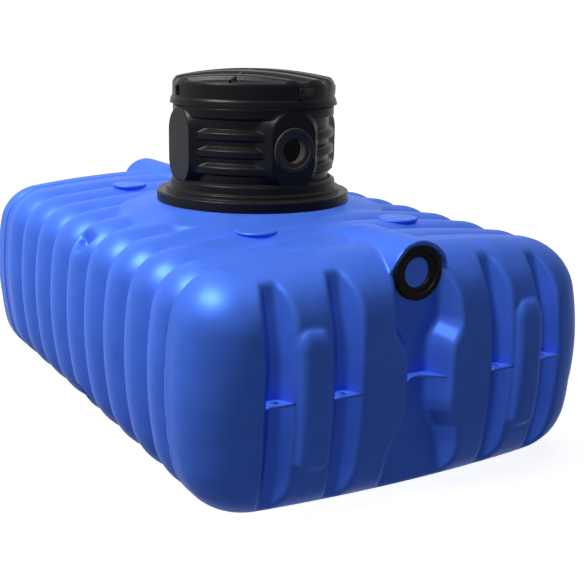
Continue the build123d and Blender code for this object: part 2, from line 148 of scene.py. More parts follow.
# The camera of the photograph, in metres and degrees: yaw, pitch and roll
CAMERA_PLACE = (-2.1042, -3.9463, 1.5932)
CAMERA_TURN = (30.304, 14.191, -1.048)
CAMERA_LENS = 65.13
FLOOR_REACH = 60000  # half width of the stage's floor, in millimetres

# Height and half width of the recess floor, from its arched top down
RECESS_EDGE = (
    (884, 0), (880, 29), (869, 54), (850, 76), (826, 92), (800, 99), (640, 99), (622, 93),
    (580, 62), (545, 52), (500, 49), (345, 50), (300, 60), (235, 98), (170, 118), (77, 130), (-120, 140),
)


# ---------------------------------------------------------------- settings


class TankSizes(bpy.types.PropertyGroup):
    """Sizes of the shell that may be changed without leaving the solids."""

    groove_round: bpy.props.FloatProperty(
        name="Groove Rounding", description="How round the grooves between the ribs are", default=0.006,
        unit="LENGTH")
    crown_share: bpy.props.FloatProperty(
        name="Crown Groove Share",
        description="Depth of the grooves on the centre line, as a share of the sides'",
        default=0.47, subtype="FACTOR", min=0.2, max=1.0)
    channel_depth: bpy.props.FloatProperty(
        name="Channel Depth", description="Depth of the upright channels of the ends", default=0.058,
        unit="LENGTH")
    finger_projection: bpy.props.FloatProperty(
        name="Finger Projection", description="How far the fingers stand out of the ends", default=0.030,
        unit="LENGTH")
    gusset_thickness: bpy.props.FloatProperty(
        name="Gusset Thickness", description="Thickness of the pierced plates in the channels", default=0.009,
        unit="LENGTH")
    trough_depth: bpy.props.FloatProperty(
        name="Trough Depth", description="Depth of the troughs of the lid", default=0.016, unit="LENGTH")


class TankFinish(bpy.types.PropertyGroup):
    """Colours and gloss of the shell, the shaft and the seals."""

    blue: bpy.props.FloatVectorProperty(
        name="Shell Blue", description="Colour of the moulded shell", default=(0.062, 0.170, 0.770),
        size=3, subtype="COLOR", min=0.0, max=1.0)
    black: bpy.props.FloatVectorProperty(
        name="Shaft Black", description="Colour of the shaft, its collar and the lid",
        default=(0.014, 0.014, 0.015), size=3, subtype="COLOR", min=0.0, max=1.0)
    rubber: bpy.props.FloatVectorProperty(
        name="Rubber", description="Colour of the lip seals", default=(0.012, 0.011, 0.010),
        size=3, subtype="COLOR", min=0.0, max=1.0)
    blue_roughness: bpy.props.FloatProperty(
        name="Shell Roughness", description="Roughness of the shell", default=0.42, subtype="FACTOR",
        min=0.0, max=1.0)
    black_roughness: bpy.props.FloatProperty(
        name="Shaft Roughness", description="Roughness of the black plastic", default=0.32,
        subtype="FACTOR", min=0.0, max=1.0)


# ---------------------------------------------------------------- shape rules, in millimetres


def soft_min(a, b, width):
    """Union of two forms with a rounded joint."""
    gap = np.maximum(width - np.abs(a - b), 0)
    return np.minimum(a, b) - gap * gap / (4 * width)


def soft_max(a, b, width):
    """Overlap of two forms with a rounded edge."""
    return -soft_min(-a, -b, width)


def ease(t):
    """Smooth step from 0 to 1."""
    t = np.clip(t, 0, 1)
    return t * t * (3 - 2 * t)


def section_distance(x, z):
    """Distance outside the crest section of the shell."""
    x = np.abs(x)
    tilt = np.arctan2(z - SIDE[1], x - SIDE[0])
    side = np.hypot(x - SIDE[0], z - SIDE[1]) - SIDE_ARC
    roof = np.hypot(x - ROOF[0], z - ROOF[1]) - ROOF_ARC
    shoulder = np.hypot(x - SHOULDER[0], z - SHOULDER[1]) - SHOULDER_ARC
    bilge = np.hypot(x - BILGE[0], z - BILGE[1]) - BILGE_ARC
    upper = np.where(np.arctan2(z - ROOF[1], x) >= ROOF_END, roof, np.where(tilt >= SIDE_TOP, shoulder, side))
    lower = np.where(tilt >= SIDE_BOTTOM, side, np.where(x > BILGE[0], bilge, -z))
    return np.where(z > WIDEST, upper, lower)


def rib_rise(x, y, z, round_off, crown_share):
    """How far the shell lies from its crests: 0 on a rib, negative in a groove."""
    place = np.clip(y, -BARREL_HALF, BARREL_HALF - 1e-4) + BARREL_HALF
    from_crest = np.abs(np.mod(place, RIB_PITCH) - RIB_PITCH / 2)
    from_crest = RIB_PITCH / 2 - np.hypot(RIB_PITCH / 2 - from_crest, round_off)
    drop = RIB_ARC - np.sqrt(RIB_ARC**2 - from_crest**2)
    share = crown_share + (1 - crown_share) * ease(np.abs(x) / 600)
    filled = 1 - 0.8 * ease((y - 845) / 90)
    return -drop * np.where(z > WIDEST, share, 1) * filled


def recess_table():
    """Distance outside the outline of the recess floor, on a fine grid over half the end."""
    xs = np.arange(0, 420, RECESS_GRID)
    zs = np.arange(RECESS_LOW, 1100, RECESS_GRID)
    x, z = np.meshgrid(xs, zs, indexing="ij")
    far = np.full(x.shape, 1e9)
    for (z0, x0), (z1, x1) in zip(RECESS_EDGE[:-1], RECESS_EDGE[1:]):
        dx, dz = x1 - x0, z1 - z0
        along = np.clip(((x - x0) * dx + (z - z0) * dz) / (dx * dx + dz * dz), 0, 1)
        far = np.minimum(far, np.hypot(x - x0 - along * dx, z - z0 - along * dz))
    heights = [z for z, _ in RECESS_EDGE][::-1]
    widths = [w for _, w in RECESS_EDGE][::-1]
    inside = (x < np.interp(z, heights, widths)) & (z < RECESS_EDGE[0][0])
    table = np.where(inside, -far, far)
    for _ in range(RECESS_SMOOTHING):
        padded = np.pad(table, 1, mode="reflect", reflect_type="odd")
        padded[0, :] = padded[2, :]
        table = (padded[:-2, 1:-1] + padded[2:, 1:-1] + padded[1:-1, :-2] + padded[1:-1, 2:]) / 8 + table / 2
    return table


RECESS_TABLE = recess_table()


def recess_outline(x, z):
    """Distance outside the outline of the recess floor, read between the points of the table."""
    a = np.clip(np.abs(x) / RECESS_GRID, 0, RECESS_TABLE.shape[0] - 2)
    b = np.clip((z - RECESS_LOW) / RECESS_GRID, 0, RECESS_TABLE.shape[1] - 2)
    i, j = a.astype(int), b.astype(int)
    a, b = a - i, b - j
    low = RECESS_TABLE[i, j] * (1 - a) + RECESS_TABLE[i + 1, j] * a
    high = RECESS_TABLE[i, j + 1] * (1 - a) + RECESS_TABLE[i + 1, j + 1] * a
    return low * (1 - b) + high * b


def rounded_overlap(a, b, radius):
    """Overlap of two forms whose edge is rounded to a radius."""
    a, b = a + radius, b + radius
    return np.minimum(np.maximum(a, b), 0) + np.hypot(np.maximum(a, 0), np.maximum(b, 0)) - radius


def hump_form(x, y, z, inset=0):
    """Half-round hump over a pipe seal, with a pointed nose towards the shaft and a hood at the seal."""
    tube = np.hypot(x, np.maximum(z - SEAL_HEIGHT + 6, 0)) - HUMP_RADIUS
    hood = y - HOOD_FRONT + 0.30 * np.clip(z - 855, 0, 60) + 0.55 * np.maximum(840 - z, 0)
    sides = (np.abs(x) - 0.86 * (y - HUMP_NOSE)) * 0.758
    ramp = (z - 868 - 0.30 * (y - HUMP_NOSE)) * 0.958
    form = soft_max(soft_max(tube, sides, 14), ramp, 16)
    return np.maximum(soft_max(form, hood, 5), 700 - z) + inset


class ShellRule:
    """The moulded surface of the tank, as a distance that is negative inside."""

    def __init__(self, sizes):
        self.round_off = sizes.groove_round * 1000
        self.crown_share = sizes.crown_share
        self.channel_depth = sizes.channel_depth * 1000
        self.finger_projection = sizes.finger_projection * 1000

    def barrel(self, x, y, z):
        """Ribbed middle of the tank with its saddle, pockets and the humps' noses."""
        s = section_distance(x, z)
        front = np.abs(y)
        form = s - rib_rise(x, y, z, self.round_off, self.crown_share)
        form = soft_min(form, soft_max(s, BARREL_HALF - front, END_EDGE), BLEND)
        form = soft_min(form, hump_form(x, front, z), 9)
        rho = np.hypot(x, y)
        gentle = 0.23 * np.clip(rho - SADDLE_FLAT, 0, SADDLE_STEEP - SADDLE_FLAT)
        saddle = (z - SADDLE + gentle + 0.9 * np.maximum(rho - SADDLE_STEEP, 0)) * 0.97
        form = soft_min(form, np.maximum(np.maximum(saddle, rho - 640), 700 - z), 12)
        for height, radius in POCKETS:
            pocket = soft_max(np.hypot(y, z - height) - radius, 722 - np.abs(x), 16)
            form = soft_max(form, -pocket, 14)
        return form

    def face_distance(self, x, y, z):
        """Distance outside the bulged face of the front end, before its edges are rounded."""
        reach = FACE_CENTRE + np.sqrt(FACE_ARC**2 - x**2)
        return np.hypot(y - reach + SIDE_ARC, z - WIDEST) - SIDE_ARC

    def channels(self, x, z, d):
        """Upright channels of an end."""
        lean = np.clip((z - WIDEST) / 400, 0, 1)
        deep = self.channel_depth + DEEPER_TOP * ease((z - 560) / 250)
        form = None
        for place, shift in CHANNELS:
            aside = np.abs(np.abs(x) - place + shift * lean)
            wall = (aside - CHANNEL_FLOOR - 0.5 * (d + deep)) * 0.894
            channel = soft_max(wall, -(d + deep), 14)
            form = channel if form is None else np.minimum(form, channel)
        return form

    def end(self, x, y, z):
        """Front end as a thick shell, with its outer form and its hollow; y counts towards the end."""
        s = section_distance(x, z)
        d = self.face_distance(x, y, z)
        radius = np.interp(z, (100, 300, 560, 760), (160, 205, 200, 190))
        channels = self.channels(x, z, d)
        outer = soft_max(rounded_overlap(s, d, radius), BARREL_HALF - y, END_EDGE)
        outer = soft_max(outer, -channels, 16)
        aside = np.maximum(np.abs(np.abs(x) - FINGER_PLACE) - 20, 0)
        upper = np.maximum(z - FINGER_TOP, 0) * 0.62
        lower = np.maximum(FINGER_FOOT - z, 0)
        sink = FINGER_ARC - self.finger_projection
        ridge = np.sqrt(aside**2 + np.maximum(d + sink, 0) ** 2 + upper**2 + lower**2) - FINGER_ARC
        outer = soft_min(outer, ridge, 7)
        outer = soft_min(outer, hump_form(x, y, z), 9)
        outline = (recess_outline(x, z) - RECESS_FLARE * (y - RECESS_FLOOR)) * 0.91
        recess = soft_max(outline, RECESS_FLOOR - y, 14)
        outer = soft_max(outer, -recess, 17)
        hollow = soft_max(rounded_overlap(s + THICK, d + THICK, radius - THICK), BARREL_HALF + THICK - y, 6)
        hollow = np.minimum(hollow, np.maximum(s + RIB_DEPTH + WALL, y - BARREL_HALF - 2 * THICK))
        hollow = np.minimum(hollow, np.maximum(hump_form(x, y, z, THICK), y - RECESS_FLOOR))
        hollow = soft_max(hollow, THICK - channels, 6)
        hollow = np.maximum(hollow, THICK - recess)
        bore = np.maximum(np.hypot(x, z - SEAL_HEIGHT) - SEAL_HOLE, 1120 - y)
        wall = np.maximum(np.maximum(outer, -hollow), BARREL_HALF - 7.5 - y)
        return np.maximum(wall, -bore), outer, hollow


def slopes(rule, points, reach=1.5):
    """Unit normals of a surface rule at points."""
    normals = np.empty_like(points)
    for axis in range(3):
        shift = np.zeros(3)
        shift[axis] = reach
        normals[:, axis] = rule(*(points + shift).T) - rule(*(points - shift).T)
    return normals / np.maximum(np.linalg.norm(normals, axis=1, keepdims=True), 1e-9)


def settle(points, outward, rule, low=-95, high=70):
    """Points moved along their own directions until they lie on a surface rule."""
    near = np.full(len(points), float(low))
    far = np.full(len(points), float(high))
    for _ in range(24):
        middle = (near + far) / 2
        inside = rule(*(points + outward * middle[:, None]).T) < 0
        near = np.where(inside, middle, near)
        far = np.where(inside, far, middle)
    return points + outward * near[:, None]


# ---------------------------------------------------------------- mesh helpers


def grid_faces(rows, columns, wrap=False):
    """Four-sided faces of a grid of points, optionally closed round its columns."""
    last = columns if wrap else columns - 1
    i, j = np.meshgrid(np.arange(rows - 1), np.arange(last), indexing="ij")
    right = (j + 1) % columns
    corners = (i * columns + j, i * columns + right, (i + 1) * columns + right, (i + 1) * columns + j)
    return np.stack(corners, -1).reshape(-1, 4)


def open_edges(faces, count):
    """Edges that only one face has, in the direction in which it runs along them."""
    edges = faces[:, [0, 1, 1, 2, 2, 3, 3, 0]].reshape(-1, 2)
    keys = edges.min(1) * count + edges.max(1)
    _, index, times = np.unique(keys, return_index=True, return_counts=True)
    return edges[index[times == 1]]


def two_skins(outer, inner, faces):
    """Closed sheet: the outer faces, the inner ones turned round, and a rim along every open edge."""
    count = len(outer)
    rim = open_edges(faces, count)
    rim = np.stack([rim[:, 1], rim[:, 0], rim[:, 0] + count, rim[:, 1] + count], 1)
    return np.concatenate([outer, inner]), np.concatenate([faces, faces[:, ::-1] + count, rim])


def facing(points, faces, outward):
    """Faces turned so that most of them look along the given directions of their points."""
    a, b, c = (points[faces[:, k]] for k in (0, 1, 2))
    look = np.einsum("ij,ij->i", np.cross(b - a, c - a), outward[faces[:, 0]])
    return faces[:, ::-1] if look.sum() < 0 else faces


def compact(points, faces, *others):
    """Points without those that no face has, and the faces renumbered."""
    used = np.unique(faces)
    number = np.full(len(points), -1)
    number[used] = np.arange(len(used))
    return [points[used], number[faces]] + [other[used] for other in others]


def linked(name, data):
    """New object of the scene that shows a mesh, lamp or camera."""
    thing = bpy.data.objects.new(name, data)
    bpy.context.scene.collection.objects.link(thing)
    return thing


def new_mesh(name, points, faces=()):
    """Mesh of points in millimetres and their faces."""
    mesh = bpy.data.meshes.new(name)
    rows = faces.tolist() if isinstance(faces, np.ndarray) else [list(row) for row in faces]
    mesh.from_pydata((np.asarray(points) / 1000).tolist(), [], rows)
    return mesh


def set_attribute(mesh, name, values, kind="FLOAT_VECTOR"):
    """Number or vector of every point, for a Geometry Nodes tree to read."""
    attribute = mesh.attributes.new(name, kind, "POINT")
    attribute.data.foreach_set("value" if kind == "FLOAT" else "vector", np.asarray(values, float).ravel())


def make_piece(name, points, faces, materials, normals=None, body="tank", inside=None):
    """Object with its place in its mesh; normals keep the shading of the exact surface."""
    mesh = new_mesh(name, points, faces)
    for material in materials:
        mesh.materials.append(material)
    if inside is not None:
        mesh.polygons.foreach_set("material_index", np.asarray(inside, dtype=np.int32))
    mesh.shade_smooth()
    if normals is not None:
        mesh.normals_split_custom_set_from_vertices(normals.tolist())
    mesh.update()
    piece = linked(name, mesh)
    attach(piece, body)
    return piece


def recalculate(piece):
    """Turns every face of a closed piece outwards."""
    work = bmesh.new()
    work.from_mesh(piece.data)
    bmesh.ops.recalc_face_normals(work, faces=work.faces)
    work.to_mesh(piece.data)
    work.free()


def rounded_profile(corners, steps=4):
    """Closed profile (radius, height, rounding) with rounded corners, and its outward normals."""
    points, normals = [], []
    count = len(corners)
    for i, (r, h, rounding) in enumerate(corners):
        here = np.array([r, h], float)
        before = np.array(corners[i - 1][:2], float) - here
        after = np.array(corners[(i + 1) % count][:2], float) - here
        reach = min(rounding, np.linalg.norm(before) * 0.48, np.linalg.norm(after) * 0.48)
        start = here + before / np.linalg.norm(before) * reach
        end = here + after / np.linalg.norm(after) * reach
        for t in np.linspace(0, 1, steps + 1):
            points.append((1 - t) ** 2 * start + 2 * t * (1 - t) * here + t * t * end)
            run = (1 - t) * (here - start) + t * (end - here)
            normals.append(np.array([run[1], -run[0]]) / np.linalg.norm(run))
    return np.array(points), np.array(normals)


def turned(corners, segments, axis="Z"):
    """Closed ring turned from a profile that runs anticlockwise: points, faces and normals."""
    profile, slants = rounded_profile(corners)
    angle = np.arange(segments) * 2 * pi / segments
    c, s = np.cos(angle), np.sin(angle)
    parts = []
    for rows in (profile, slants):
        r, h = rows[:, :1], rows[:, 1:] * np.ones((1, segments))
        place = (r * c, r * s, h) if axis == "Z" else (r * c, h, -r * s)
        parts.append(np.stack(place, -1).reshape(-1, 3))
    rows = len(profile)
    i, j = np.meshgrid(np.arange(rows), np.arange(segments), indexing="ij")
    below, right = (i + 1) % rows, (j + 1) % segments
    corners_of = (i * segments + j, i * segments + right, below * segments + right, below * segments + j)
    faces = np.stack(corners_of, -1).reshape(-1, 4)
    return parts[0], facing(parts[0], faces, parts[1]), parts[1]


def surface_net(rule, low, high, step):
    """Four-sided mesh of the surface of a rule, on a regular grid between two corners."""
    axes = [np.arange(a, b + step, step) for a, b in zip(low, high)]
    value = np.stack([rule(*np.meshgrid([x], axes[1], axes[2], indexing="ij"))[0] for x in axes[0]])
    inside = value < 0
    cells = tuple(n - 1 for n in value.shape)
    total = np.zeros(cells + (3,))
    hits = np.zeros(cells)
    quads = []
    number_of = np.arange(np.prod(cells)).reshape(cells)
    for axis in range(3):
        lo = [slice(None)] * 3
        hi = [slice(None)] * 3
        lo[axis], hi[axis] = slice(0, -1), slice(1, None)
        lo, hi = tuple(lo), tuple(hi)
        cross = inside[lo] != inside[hi]
        i, j, k = np.nonzero(cross)
        share = value[lo][i, j, k] / (value[lo][i, j, k] - value[hi][i, j, k])
        place = np.stack([axes[0][i], axes[1][j], axes[2][k]], 1)
        place[:, axis] += share * step
        b, c = (axis + 1) % 3, (axis + 2) % 3
        around = []
        whole = np.ones(len(i), bool)
        for db, dc in ((1, 1), (0, 1), (0, 0), (1, 0)):
            cell = [i, j, k]
            cell[b] = cell[b] - db
            cell[c] = cell[c] - dc
            whole &= (cell[b] >= 0) & (cell[c] >= 0) & (cell[b] < cells[b]) & (cell[c] < cells[c])
            around.append(cell)
        around = [tuple(part[whole] for part in cell) for cell in around]
        for cell in around:
            np.add.at(total, cell, place[whole])
            np.add.at(hits, cell, 1)
        ids = np.stack([number_of[cell] for cell in around], 1)
        rising = inside[lo][i, j, k][whole]
        quads.append(np.where(rising[:, None], ids, ids[:, ::-1]))
    faces = np.concatenate(quads)
    points = total.reshape(-1, 3) / np.maximum(hits.reshape(-1, 1), 1)
    return compact(points, faces)


def relaxed(points, faces, rule, rounds=3, step=6):
    """Points of a net drawn onto its rule and spread evenly over it."""
    count = len(points)
    for turn in range(rounds + 2):
        value = rule(*points.T)
        normal = slopes(rule, points, 1.0)
        points = points - normal * np.clip(value, -step, step)[:, None]
        if turn >= rounds:
            continue
        middles = points[faces].mean(1)
        total = np.zeros((count, 3))
        times = np.bincount(faces.ravel(), minlength=count)
        for axis in range(3):
            shares = np.repeat(middles[:, axis], 4)
            total[:, axis] = np.bincount(faces.ravel(), weights=shares, minlength=count)
        drift = total / np.maximum(times, 1)[:, None] - points
        drift -= normal * np.einsum("ij,ij->i", drift, normal)[:, None]
        points = points + 0.6 * drift
    return points


# ---------------------------------------------------------------- nodes

FLOAT = "NodeSocketFloat"
PLACE = ("Place", "NodeSocketVector", None)
MASK = ("Mask", FLOAT, None)
GEOMETRY = ("Geometry", "NodeSocketGeometry", None)
FINISH = ("Finish", "NodeSocketMaterial", None)


def new_group(name, kind, inputs, outputs):
    """Empty node group with named sockets: the tree, its input node and its output node."""
    tree = bpy.data.node_groups.new(name, kind)
    for in_out, sockets in (("INPUT", inputs), ("OUTPUT", outputs)):
        for label, socket_type, default in sockets:
            socket = tree.interface.new_socket(name=label, in_out=in_out, socket_type=socket_type)
            if default is not None:
                socket.default_value = default
    return tree, tree.nodes.new("NodeGroupInput"), tree.nodes.new("NodeGroupOutput")


def feed(tree, socket, value):
    """Set a socket to a number, or link an output to it."""
    if isinstance(value, (int, float)):
        socket.default_value = value
    else:
        tree.links.new(value, socket)


def math_node(tree, operation, *values):
    """Result of a math node with its inputs linked or set."""
    node = tree.nodes.new("ShaderNodeMath")
    node.operation = operation
    for socket, value in zip(node.inputs, values):
        feed(tree, socket, value)
    return node.outputs[0]


def noise_node(tree, place, scale, detail=2.0):
    """Noise at a place, from 0 to 1."""
    node = tree.nodes.new("ShaderNodeTexNoise")
    for label, value in (("Vector", place), ("Scale", scale), ("Detail", detail)):
        feed(tree, node.inputs[label], value)
    return node.outputs["Fac"]


def attribute_node(tree, name, kind="FLOAT_VECTOR"):
    """What set_attribute gave each point."""
    node = tree.nodes.new("GeometryNodeInputNamedAttribute")
    node.data_type = kind
    node.inputs["Name"].default_value = name
    return node.outputs["Attribute"]


# ---------------------------------------------------------------- materials


def grain_group():
    """Shader group: the fine peel of moulded plastic and its slow waviness, as a height and a mask."""
    tree, source, target = new_group(
        "moulded_grain", "ShaderNodeTree",
        (PLACE, ("Grain Scale", FLOAT, 420.0), ("Wave Scale", FLOAT, 9.0)),
        (("Height", FLOAT, None), ("Mottle", FLOAT, None)))
    place = source.outputs["Place"]
    grain = noise_node(tree, place, source.outputs["Grain Scale"])
    wave = noise_node(tree, place, source.outputs["Wave Scale"], 3.0)
    height = math_node(tree, "ADD", grain, math_node(tree, "MULTIPLY", wave, 0.6))
    tree.links.new(height, target.inputs["Height"])
    tree.links.new(wave, target.inputs["Mottle"])
    return tree


def wear_group():
    """Shader group: a mask of raised edges, broken up by noise, where handling polishes the plastic."""
    tree, source, target = new_group(
        "edge_wear", "ShaderNodeTree", (PLACE, ("Start", FLOAT, 0.52)), (MASK,))
    shape = tree.nodes.new("ShaderNodeNewGeometry")
    over = math_node(tree, "SUBTRACT", shape.outputs["Pointiness"], source.outputs["Start"])
    mask = math_node(tree, "MULTIPLY", over, 14.0)
    mask = math_node(tree, "MULTIPLY", mask, noise_node(tree, source.outputs["Place"], 34.0))
    mask = math_node(tree, "MINIMUM", math_node(tree, "MAXIMUM", mask, 0.0), 1.0)
    tree.links.new(mask, target.inputs["Mask"])
    return tree


def dust_group():
    """Shader group: a mask of thin dust that lies on what looks up."""
    tree, source, target = new_group(
        "settled_dust", "ShaderNodeTree", (PLACE, ("Amount", FLOAT, 0.05)), (MASK,))
    shape = tree.nodes.new("ShaderNodeNewGeometry")
    parts = tree.nodes.new("ShaderNodeSeparateXYZ")
    tree.links.new(shape.outputs["Normal"], parts.inputs[0])
    up = math_node(tree, "MAXIMUM", parts.outputs["Z"], 0.0)
    mask = math_node(tree, "MULTIPLY", up, noise_node(tree, source.outputs["Place"], 21.0, 6.0))
    mask = math_node(tree, "MULTIPLY", mask, source.outputs["Amount"])
    tree.links.new(mask, target.inputs["Mask"])
    return tree


GROUPS = (("moulded_grain", grain_group), ("edge_wear", wear_group), ("settled_dust", dust_group))


def shared_group(name, builder):
    """A shader group that every material shares."""
    return bpy.data.node_groups.get(name) or builder()


def plastic(name, colour, roughness, specular, bump, wear, dust, grain_scale, body_gloss=0.0):
    """Moulded plastic or rubber: mottled colour, fine peel, polished edges and a little dust.

    body_gloss is the share of the gloss that takes the colour of the plastic.
    """
    material = bpy.data.materials.get(name)
    if material:
        return material
    material = bpy.data.materials.new(name)
    material.use_nodes = True
    tree = material.node_tree
    shader = tree.nodes["Principled BSDF"]
    where = tree.nodes.new("ShaderNodeTexCoord").outputs["Object"]
    groups = {}
    for group, builder in GROUPS:
        node = tree.nodes.new("ShaderNodeGroup")
        node.node_tree = shared_group(group, builder)
        tree.links.new(where, node.inputs["Place"])
        groups[group] = node
    groups["moulded_grain"].inputs["Grain Scale"].default_value = grain_scale
    groups["settled_dust"].inputs["Amount"].default_value = dust
    ramp = tree.nodes.new("ShaderNodeValToRGB")
    for element, position, share in zip(ramp.color_ramp.elements, (0.3, 0.7), (0.93, 1.06)):
        element.position = position
        element.color = tuple(min(part * share, 1.0) for part in colour) + (1.0,)
    tree.links.new(groups["moulded_grain"].outputs["Mottle"], ramp.inputs["Fac"])
    tint = ramp.outputs["Color"]
    lighter = tuple(min(part * 1.25 + 0.014, 1.0) for part in colour) + (1.0,)
    dusty = (0.5, 0.48, 0.45, 1.0)
    for mask, share, paint in (("edge_wear", wear, lighter), ("settled_dust", 1.0, dusty)):
        mix = tree.nodes.new("ShaderNodeMix")
        mix.data_type = "RGBA"
        tree.links.new(math_node(tree, "MULTIPLY", groups[mask].outputs["Mask"], share), mix.inputs[0])
        tree.links.new(tint, mix.inputs[6])
        mix.inputs[7].default_value = paint
        tint = mix.outputs[2]
    tree.links.new(tint, shader.inputs["Base Color"])
    mottle = groups["moulded_grain"].outputs["Mottle"]
    uneven = math_node(tree, "MULTIPLY_ADD", mottle, 0.16, roughness - 0.08)
    worn = math_node(tree, "MULTIPLY", groups["edge_wear"].outputs["Mask"], -0.08)
    tree.links.new(math_node(tree, "ADD", uneven, worn), shader.inputs["Roughness"])
    shader.inputs["Specular IOR Level"].default_value = specular
    if body_gloss:
        shader.inputs["Specular Tint"].default_value = (0.35, 0.6, 1.0, 1.0)
    lift = tree.nodes.new("ShaderNodeBump")
    lift.inputs["Strength"].default_value = bump
    lift.inputs["Distance"].default_value = 0.0006
    tree.links.new(groups["moulded_grain"].outputs["Height"], lift.inputs["Height"])
    tree.links.new(lift.outputs["Normal"], shader.inputs["Normal"])
    shader.inputs["Metallic"].default_value = body_gloss
    return material


def dimmed(colour, share):
    """A colour darkened to a share of itself, used as painted shade."""
    return tuple(c * share for c in colour)


def finish(part):
    """The material of one kind of surface."""
    look = bpy.context.scene.tank_finish
    # The port's rubber is paler and warmer than the seals': partly its own lighter colour, partly a warm tint
    # painted to offset the blue light that the shell bounces onto it
    paler = tuple(c + more for c, more in zip(look.rubber, (0.050, 0.043, 0.031)))
    looks = {
        "shell": ("blue_moulding", look.blue, look.blue_roughness, 0.05, 0.10, 0.25, 0.012, 420.0, 0.14),
        # The inside materials are the same plastic darkened: painted shade on the inner faces, which the
        # shadowless lamps would otherwise light
        "inside": ("blue_moulding_inside", dimmed(look.blue, 0.42), 0.6, 0.1, 0.1, 0.2, 0.0, 420.0),
        "black": ("black_moulding", look.black, look.black_roughness, 0.05, 0.22, 0.3, 0.005, 620.0),
        # The shaft's inner wall and bore get the black darkened to 0.3: painted shade
        "black painted shade": (
            "black_moulding_inside", dimmed(look.black, 0.3), 0.8, 0.02, 0.1, 0.1, 0.0, 620.0),
        "port rubber": ("port_rubber", paler, 0.42, 0.05, 0.18, 0.3, 0.006, 800.0),
        "rubber": ("seal_rubber", look.rubber, 0.4, 0.04, 0.18, 0.3, 0.005, 800.0),
    }
    return plastic(*looks[part])


# ---------------------------------------------------------------- geometry node trees


def finish_tree(tree, shape, source, target):
    """The end of every tree: real geometry, smooth, with its material."""
    for kind in ("GeometryNodeRealizeInstances", "GeometryNodeSetShadeSmooth", "GeometryNodeSetMaterial"):
        node = tree.nodes.new(kind)
        tree.links.new(shape, node.inputs[0])
        shape = node.outputs[0]
    tree.links.new(source.outputs["Finish"], node.inputs["Material"])
    tree.links.new(shape, target.inputs[0])


def ribs_tree():
    """Bends a smooth wall into round ribs: each point moves along its own outward direction."""
    labels = ("Rib Pitch", "Rib Arc", "Half Row", "Groove Rounding")
    sizes = [(label, FLOAT, default) for label, default in zip(labels, (0.21, 0.171, 0.945, 0.006))]
    tree, source, target = new_group(
        "round_ribs", "GeometryNodeTree", [GEOMETRY] + sizes + [FINISH], (GEOMETRY,))
    pitch, arc, half_row, rounding = (source.outputs[label] for label in labels)

    def result(operation, *values):
        return math_node(tree, operation, *values)

    parts = tree.nodes.new("ShaderNodeSeparateXYZ")
    tree.links.new(tree.nodes.new("GeometryNodeInputPosition").outputs[0], parts.inputs[0])
    half = result("MULTIPLY", pitch, 0.5)
    within = result("FLOORED_MODULO", result("ADD", parts.outputs["Y"], half_row), pitch)
    groove = result("SUBTRACT", half, result("ABSOLUTE", result("SUBTRACT", within, half)))
    soft = result("ADD", result("MULTIPLY", groove, groove), result("MULTIPLY", rounding, rounding))
    crest = result("SUBTRACT", half, result("SQRT", soft))
    level = result("SUBTRACT", result("MULTIPLY", arc, arc), result("MULTIPLY", crest, crest))
    rise = result("SUBTRACT", result("SQRT", level), arc)
    rise = result("SUBTRACT", rise, attribute_node(tree, "depth", "FLOAT"))
    shift = tree.nodes.new("ShaderNodeVectorMath")
    shift.operation = "SCALE"
    tree.links.new(attribute_node(tree, "outward"), shift.inputs[0])
    tree.links.new(rise, shift.inputs["Scale"])
    move = tree.nodes.new("GeometryNodeSetPosition")
    tree.links.new(source.outputs["Geometry"], move.inputs["Geometry"])
    tree.links.new(shift.outputs[0], move.inputs["Offset"])
    finish_tree(tree, move.outputs[0], source, target)
    return tree


def copies_tree():
    """Puts a copy of a template on every point, turned as the point says."""
    inputs = (GEOMETRY, ("Template", "NodeSocketObject", None), ("Copy Size", FLOAT, 1.0), FINISH)
    tree, source, target = new_group("copies_on_points", "GeometryNodeTree", inputs, (GEOMETRY,))
    template = tree.nodes.new("GeometryNodeObjectInfo")
    tree.links.new(source.outputs["Template"], template.inputs["Object"])
    points = tree.nodes.new("GeometryNodeMeshToPoints")
    tree.links.new(source.outputs["Geometry"], points.inputs["Mesh"])
    turn = tree.nodes.new("FunctionNodeEulerToRotation")
    tree.links.new(attribute_node(tree, "turn"), turn.inputs[0])
    place = tree.nodes.new("GeometryNodeInstanceOnPoints")
    for label, value in (
        ("Points", points.outputs[0]), ("Instance", template.outputs["Geometry"]),
        ("Rotation", turn.outputs[0]), ("Scale", source.outputs["Copy Size"]),
    ):
        tree.links.new(value, place.inputs[label])
    finish_tree(tree, place.outputs[0], source, target)
    return tree


def grown(name, base, tree, values):
    """Plain mesh that a Geometry Nodes tree makes from a base mesh, and its points in millimetres."""
    carrier = linked(name + ".base", base)
    modifier = carrier.modifiers.new("shape", "NODES")
    modifier.node_group = tree
    for item in tree.interface.items_tree:
        if item.in_out == "INPUT" and item.name in values:
            modifier[item.identifier] = values[item.name]
    ready = carrier.evaluated_get(bpy.context.evaluated_depsgraph_get())
    mesh = bpy.data.meshes.new_from_object(ready)
    bpy.data.objects.remove(carrier)
    points = np.empty(len(mesh.vertices) * 3)
    mesh.vertices.foreach_get("co", points)
    return mesh, points.reshape(-1, 3) * 1000


def spread_copies(name, template, places, turns, material, body="tank"):
    """One piece made of copies of a template at several places."""
    carrier = new_mesh(name + ".points", places)
    set_attribute(carrier, "turn", turns)
    model = linked(name + ".template", new_mesh(name + ".template", *template))
    tree = bpy.data.node_groups.get("copies_on_points") or copies_tree()
    mesh, _ = grown(name, carrier, tree, {"Template": model, "Copy Size": 1.0, "Finish": material})
    bpy.data.objects.remove(model)
    mesh.name = name
    piece = linked(name, mesh)
    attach(piece, body)
    return piece


# ---------------------------------------------------------------- the shell


